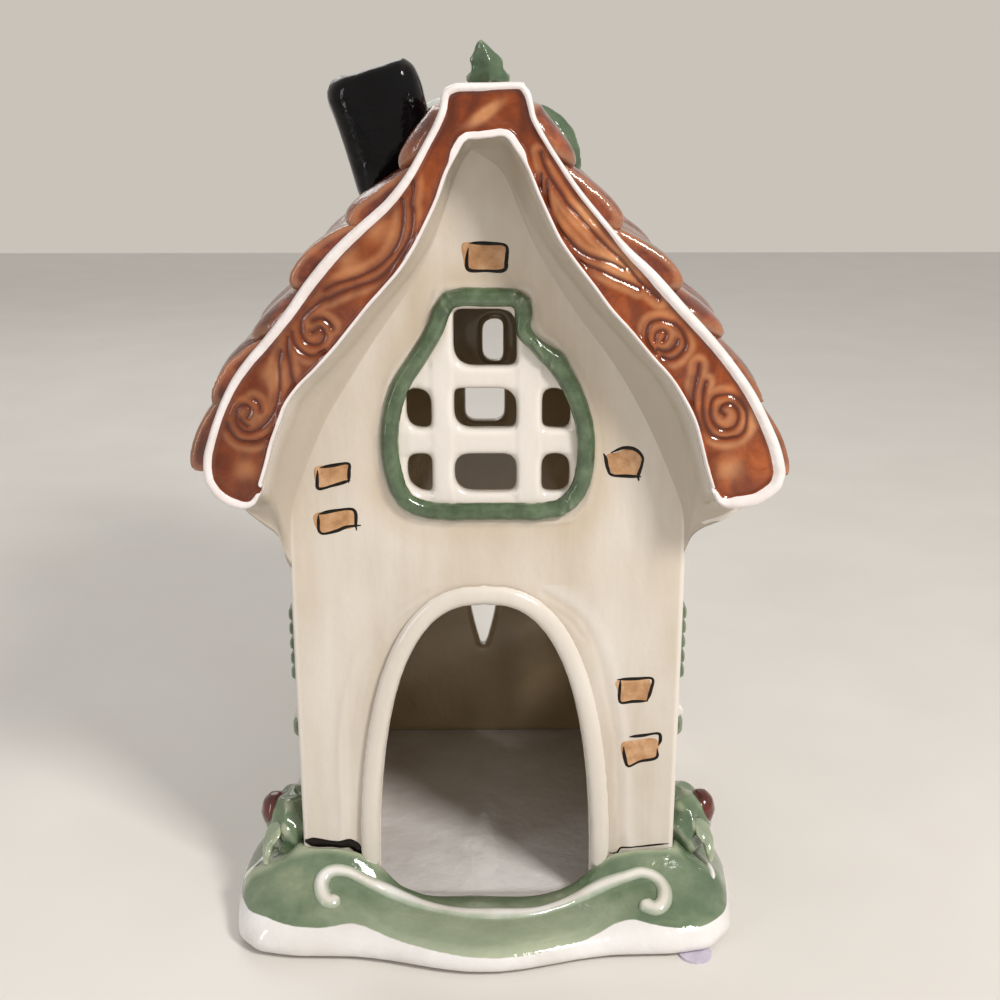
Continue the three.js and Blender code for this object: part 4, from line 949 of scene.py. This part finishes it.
def chimney_mouth(piece):
    """A rounded shaft; its mouth was pinched by hand, lower on its left side and at the back."""
    x, y, z = coords(piece).T
    roof = np.interp(x, [-43.5, -29.1, -23.6, -18.9, -15.1, -11.5], [183, 197.6, 202.4, 208.1, 214.3, 221])
    above = soft_step(z - roof, 1, 9)
    relax(piece, 40, above)
    points = coords(piece) + 0.8 * above[:, None] * vertex_normals(piece)
    x, y, z = points.T
    top = np.interp(x, [-42.5, -40.6, -37, -30.5, -23.9, -21.3, -18.7, -16],
                    [226.4, 228.2, 229.8, 231.2, 232.6, 233.1, 231.8, 229])
    top = top + 0.7 - 2.2 * soft_step(y, -17, -9)
    points[:, 2] = z + (top - 231) * soft_step(z, 203, 231)
    move(piece, points)


def stroke(name, line, width, thick=0.1, above=0.03):
    """One brush stroke on the front wall, thinner where the brush lands and lifts."""
    path = on_wall(through(line, 0.35), above)
    out = np.array([0, -1, 0])
    turns = np.arange(10) / 10 * 2 * math.pi
    rings = []
    for i, (place, way) in enumerate(zip(path, np.gradient(path, axis=0))):
        share = i / (len(path) - 1)
        swell = width / 2 * (0.85 + 0.15 * math.sin(share * 11 + len(line)))
        swell *= min(1, 0.35 + 6 * min(share, 1 - share))
        across = np.cross(way, out)
        across /= np.linalg.norm(across)
        rings.append([place + swell * math.cos(t) * across + thick * math.sin(t) * out for t in turns])
    finish_piece(skin(name, rings), LINE)


def daub(name, outline):
    """A filled patch of colour inside a hand drawn outline, thin at its edge."""
    line = through(outline, 0.4, closed=True)
    middle = line.mean(axis=0)
    sizes = (1, 1, 0.96, 0.8, 0.6, 0.4, 0.2, 0.03)
    heights = (-0.2, 0.01, 0.05, 0.06, 0.06, 0.06, 0.06, 0.06)
    finish_piece(skin(name, [on_wall(middle + (line - middle) * size, above)
                             for size, above in zip(sizes, heights)]), BRICK)


# Each brick painted on the front wall: its tan patch, and the dark strokes round it
BRICKS = [
    ("top", [(-5.9, 190.6), (-1, 190.3), (4.6, 190.1), (4.7, 187), (4.4, 184.1), (-4.4, 184.1),
             (-5.8, 186.7)],
     [[(4.9, 187.2), (4.3, 184), (-0.3, 183.8), (-4.4, 184), (-5, 186.2), (-4.6, 189.5)],
      [(-4.4, 190.6), (0.2, 190.5), (4.6, 190), (4.9, 187.2), (4.4, 184)]]),
    ("right", [(30.8, 135.9), (33.5, 136.9), (36.1, 137.7), (39.4, 136.8), (39.7, 131.2), (36, 130.8),
               (32.6, 131)],
     [[(30.1, 136.6), (30.7, 135.3), (31.3, 132.6), (32.4, 130.8), (36.3, 130.5), (40.1, 130.3)],
      [(39.5, 129.2), (39.3, 130.7), (40.1, 133.4), (40.2, 135.7), (38.2, 137.7), (35.2, 138.1),
       (32, 136.8)]]),
    ("left_upper", [(-44.8, 133), (-40, 133.5), (-36.1, 133.9), (-36, 131.5), (-36.1, 129.4),
                    (-40, 128.4), (-44.1, 127.6)],
     [[(-43.5, 133), (-40, 133.6), (-36.1, 134.1), (-36, 131.9), (-36.2, 128.9)],
      [(-44.1, 132.3), (-44.3, 129.6), (-44, 127.3), (-40.2, 128.2), (-35.7, 129.6)]]),
    ("left_lower", [(-45.6, 120.1), (-40.5, 121.2), (-35.1, 121.4), (-34.9, 117), (-38.9, 115.9),
                    (-44.2, 115.3)],
     [[(-44.4, 120.3), (-40.5, 121.2), (-36.1, 121.7), (-34.7, 120.6), (-34.7, 117.2), (-34.5, 115.8)],
      [(-44.4, 120.1), (-44.5, 117.7), (-44.4, 115.7), (-43.2, 114.9), (-39.8, 115.7), (-37.1, 116.8),
       (-33.3, 117.2)]]),
    ("door_upper", [(35.1, 72.1), (40, 72.3), (44.3, 72.2), (43.6, 66.2), (40, 66), (36.1, 65.9),
                    (35.4, 69.3)],
     [[(35.3, 72.5), (40.5, 72.7), (44.9, 72.7), (44.6, 69.2), (43.7, 65.9)],
      [(43.9, 66), (39.9, 65.9), (36.4, 65.7), (36, 69.3), (36.2, 72.4)]]),
    ("door_lower", [(37, 53.1), (40.2, 54), (46.7, 54.3), (46.8, 48.6), (42.4, 47.5), (39.3, 46.1),
                    (37.7, 47.8)],
     [[(39.1, 55.1), (42.9, 55.5), (47.1, 56.1), (47.8, 54.3), (47.4, 52.4)],
      [(37.6, 52.2), (38, 49.1), (39.1, 46.1), (42.4, 47.5), (46.8, 48.6), (47, 51.5)]]),
]

# Pieces that are cast in a mould, as soft edged copies of the frame's: which ones, how their nodes
# and they are named, the grain of the copy, the finish and what the maker's hands did to it
ONLY, SIDES = ("",), ("right", "left")
SHUTTERS = ("right_front", "right_back", "left_front", "left_back")
for places, node, name, voxel, finish, warp in [
        (ONLY, "wall_front", "front_wall", 0.6, CREAM, hand_finish),
        (("back", "right", "left"), "wall_{}", "{}_wall", 0.9, CREAM, None),
        (SIDES, "roof_{}", "{}_roof_slab", 1.0, CREAM, slump),
        (SIDES, "window_frame_{}", "{}_window_moulding", 0.5, FRAME_GREEN, None),
        (SHUTTERS, "shutter_{}", "{}_shutter", 0.45, FRAME_GREEN, None),
        (SIDES, "window_sill_{}", "{}_sill", 0.6, WHITE, sill),
        (SIDES, "flower_box_{}", "{}_flower_box", 0.6, LEAF, None),
        (ONLY, "chimney", "chimney_pot", 0.7, BLACK, chimney_mouth),
        (ONLY, "base_plinth", "garden_mound", 0.9, GARDEN, garden_zones),
        (ONLY, "door_surround", "doorway_moulding", 0.5, CREAM, soft_roll),
        (ONLY, "window_frame_front", "front_window_moulding", 0.45, FRAME_GREEN, window_joints),
        (ONLY, "ridge_cap", "ridge_saddle", 0.8, TILES, None),
        (("top", "right", "left"), "leaf_ridge_{}", "ridge_leaf_{}", 0.5, LEAF, None),
        (SIDES, "shrub_{}", "{}_shrub", 0.6, BUSH, bush),
        (SIDES, "leaf_garden_{}", "{}_hanging_leaf", 0.45, BUSH, hanging_leaf),
        (SIDES, "berry_{}", "{}_berry", 0.5, BERRY, berry),
]:
    for place in places:
        source = node.format(place)
        finish_piece(cast(copy_of(source, name.format(place)), voxel, warp=warp), finish, [source])

front_wall = surface_of("front_wall")
for spot, fill, lines in BRICKS:
    daub(f"painted_brick_{spot}", fill)
    for number, line in enumerate(lines, 1):
        stroke(f"brush_line_{spot}_{number}", line, 1.0)
stroke("brush_line_left_foot", [(-52.2, 22.8), (-48.1, 22.2), (-43.8, 21.8), (-39.6, 21.9), (-37.6, 20.6),
                                (-36.4, 17.8)], 2.9, 0.3, 0.1)
stroke("brush_line_right_foot", [(34.4, 18.3), (36.6, 18.4), (38, 20), (43.1, 20.4), (47.4, 20.9),
                                 (51.4, 21.3)], 0.6)

# The raised scroll round the doorstep, a roll of clay with a curl at each end
DOORSTEP = [(-41.5, -58.3, 12.2), (-43.9, -60.1, 12), (-45.9, -58.5, 12.9), (-46.8, -55, 13.9),
            (-45.9, -52.1, 15), (-43.5, -51, 15.9), (-40.1, -51, 15.6), (-36.2, -51.8, 14),
            (-31.8, -52.4, 11.5), (-24.9, -53.9, 9.3), (-17, -57, 8.3), (-7.3, -60, 8.1),
            (2.4, -60.9, 8.1), (12, -60.2, 8.1), (18.9, -57.7, 8.4), (25.8, -54.9, 9.7),
            (32.8, -52.9, 12), (38.6, -52.6, 14.4), (43, -51.9, 15.2), (46.8, -53.3, 14.5),
            (48.9, -56.9, 13.4), (48.4, -60.9, 12.2), (46.3, -62.8, 11.4), (44, -62.1, 11.4),
            (42.2, -60.3, 11.9)]
mound = surface_of("garden_mound")


def raised_roll(name, spine, fat, replaced=()):
    """A low roll of white clay on the mound, drawn out at its ends, its flanks veiled with green."""
    step = 0.5
    found = [mound.find_nearest(tuple(place * MM))[:2] for place in through(spine, step)]
    places = np.array([near for near, _ in found]) / MM
    turns = np.arange(14) / 14 * 2 * math.pi
    rings = []
    for i, (place, way) in enumerate(zip(places, np.gradient(places, axis=0))):
        up = np.array(found[i][1]) + np.array([0, -0.25, 0.3])
        up /= np.linalg.norm(up)
        across = np.cross(way, up)
        across /= np.linalg.norm(across)
        end = min(i, len(places) - 1 - i) * step
        size = fat * (1 + 0.16 * math.exp(-(end / 3) ** 2) + 0.14 * math.sin(i * 0.11))
        size *= math.sqrt(min(1, (end + 0.08) / 1.5))
        rings.append([place + size * (math.cos(t) * across + 0.66 * math.sin(t) * up) for t in turns])
    piece = skin(name, rings)
    remember(piece, "hollow", np.full(len(piece.data.vertices), 0.4))
    remember(piece, "green", np.tile(1 - soft_step(np.sin(turns), 0.68, 1.02), len(rings)))
    finish_piece(piece, WHITE, replaced)


raised_roll("doorstep_curl", DOORSTEP, 2.0, ["doorstep_scroll"])
raised_roll("right_leaf_edge", [(62.6, -37, 19), (60.2, -37.5, 18.4), (59.4, -40, 16.4),
                                (60.6, -43.4, 14.8), (62.4, -47, 13.4), (63.4, -50.8, 12.2)], 0.95)
raised_roll("left_leaf_edge", [(-62.2, -29, 16), (-62.5, -33, 15.2), (-63.9, -38, 14.4), (-66, -43, 12.6),
                               (-68.2, -47.5, 10.4)], 0.95)

# Roof tiles: one soft lump of clay, copied along each row and pressed into its neighbours
bpy.ops.mesh.primitive_uv_sphere_add(segments=22, ring_count=13, radius=1, rotation=(0, math.pi / 2, 0))
lump = bpy.context.object
bpy.ops.object.transform_apply(rotation=True)
lump_points = np.array([v.co[:] for v in lump.data.vertices])
lump_faces = [tuple(f.vertices) for f in lump.data.polygons]
bpy.data.objects.remove(lump)

ROOF_FRONT, ROOF_BACK = -56.6, 72.6
PAST_ROOF = 9.4  # how far past the roof's ends the middle of a cut tile may lie
FIRST_TILE, TILE_PITCH = -56.9, 21.57
# Half a tile's length and width, and how far up the slope from its butt its middle lies
HALF_LENGTH, HALF_WIDTH, MIDDLE_UP = 13, 10.9, 12.2
# Where the butts of each row lie on the right slope; those on the left mirror them
BUTTS = [(21, 209.5), (33.5, 196), (47, 182.5), (59.5, 168), (70, 152), (77, 134)]


def tile_row(side, row):
    """Lumps hung along the slope: u runs down it, v along the ridge, w out of the roof."""
    sign, edge = (1, OUTER_RIGHT[4:19]) if side == "right" else (-1, OUTER_LEFT[5:23])
    step = 0.5
    slope = through(edge, step)
    slope = np.vstack([slope, slope[-1] + np.diff(slope[-2:], axis=0) * np.arange(1, 12)[:, None]])
    at = np.arange(len(slope))
    ways = np.gradient(slope, axis=0)
    ways /= np.linalg.norm(ways, axis=1)[:, None]
    out = np.stack([-ways[:, 1], ways[:, 0]], axis=1) * sign
    end = step * np.argmin(np.linalg.norm(slope - np.array(BUTTS[row]) * (sign, 1), axis=1))
    # The two lowest rows are fat on the left and flat on the right, where the roof slumped
    thick, tilt = (4.1, 0.2) if row < 4 else (2.6, 0.14) if side == "right" else (4.6, 0.2)
    parts = []
    for i in range(-1, 7):
        middle = FIRST_TILE + (i + 0.5 + (row % 3) / 3) * TILE_PITCH
        if not ROOF_FRONT - PAST_ROOF < middle < ROOF_BACK + PAST_ROOF:
            continue
        swing = math.sin(i * 2.3 + row * 1.7)
        u, v, w = (np.sign(lump_points) * abs(lump_points) ** np.array([0.9, 0.8, 0.9])).T
        u = u * HALF_LENGTH + 0.7 * swing
        v = v * (HALF_WIDTH + 0.3 * swing) + middle
        w = w * (thick + 0.4 * swing) + tilt * u + 0.25 * np.sin(v * 0.7 + i) - 0.9
        v = np.clip(v, ROOF_FRONT, ROOF_BACK)
        s = np.clip((end - MIDDLE_UP + u) / step, 0, len(slope) - 1)
        x, z = [np.interp(s, at, slope[:, k]) + w * np.interp(s, at, out[:, k]) for k in (0, 1)]
        parts.append(np.stack([x, v, z], axis=1))
    faces = [[index + k * len(lump_points) for index in face]
             for k in range(len(parts)) for face in lump_faces]
    return mesh_piece(f"{side}_tile_row_{row + 1}", np.vstack(parts), faces)


for side in SIDES:
    for row in range(6):
        finish_piece(cast(tile_row(side, row), 0.8, 4, glaze=0.1), TILES, [f"tiles_{side}_{row + 1}"])

for corner in ("front_right", "front_left", "back_right", "back_left"):
    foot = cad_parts[f"bumper_foot_{corner}"]
    foot.data.materials.clear()
    foot.data.materials.append(PAD)
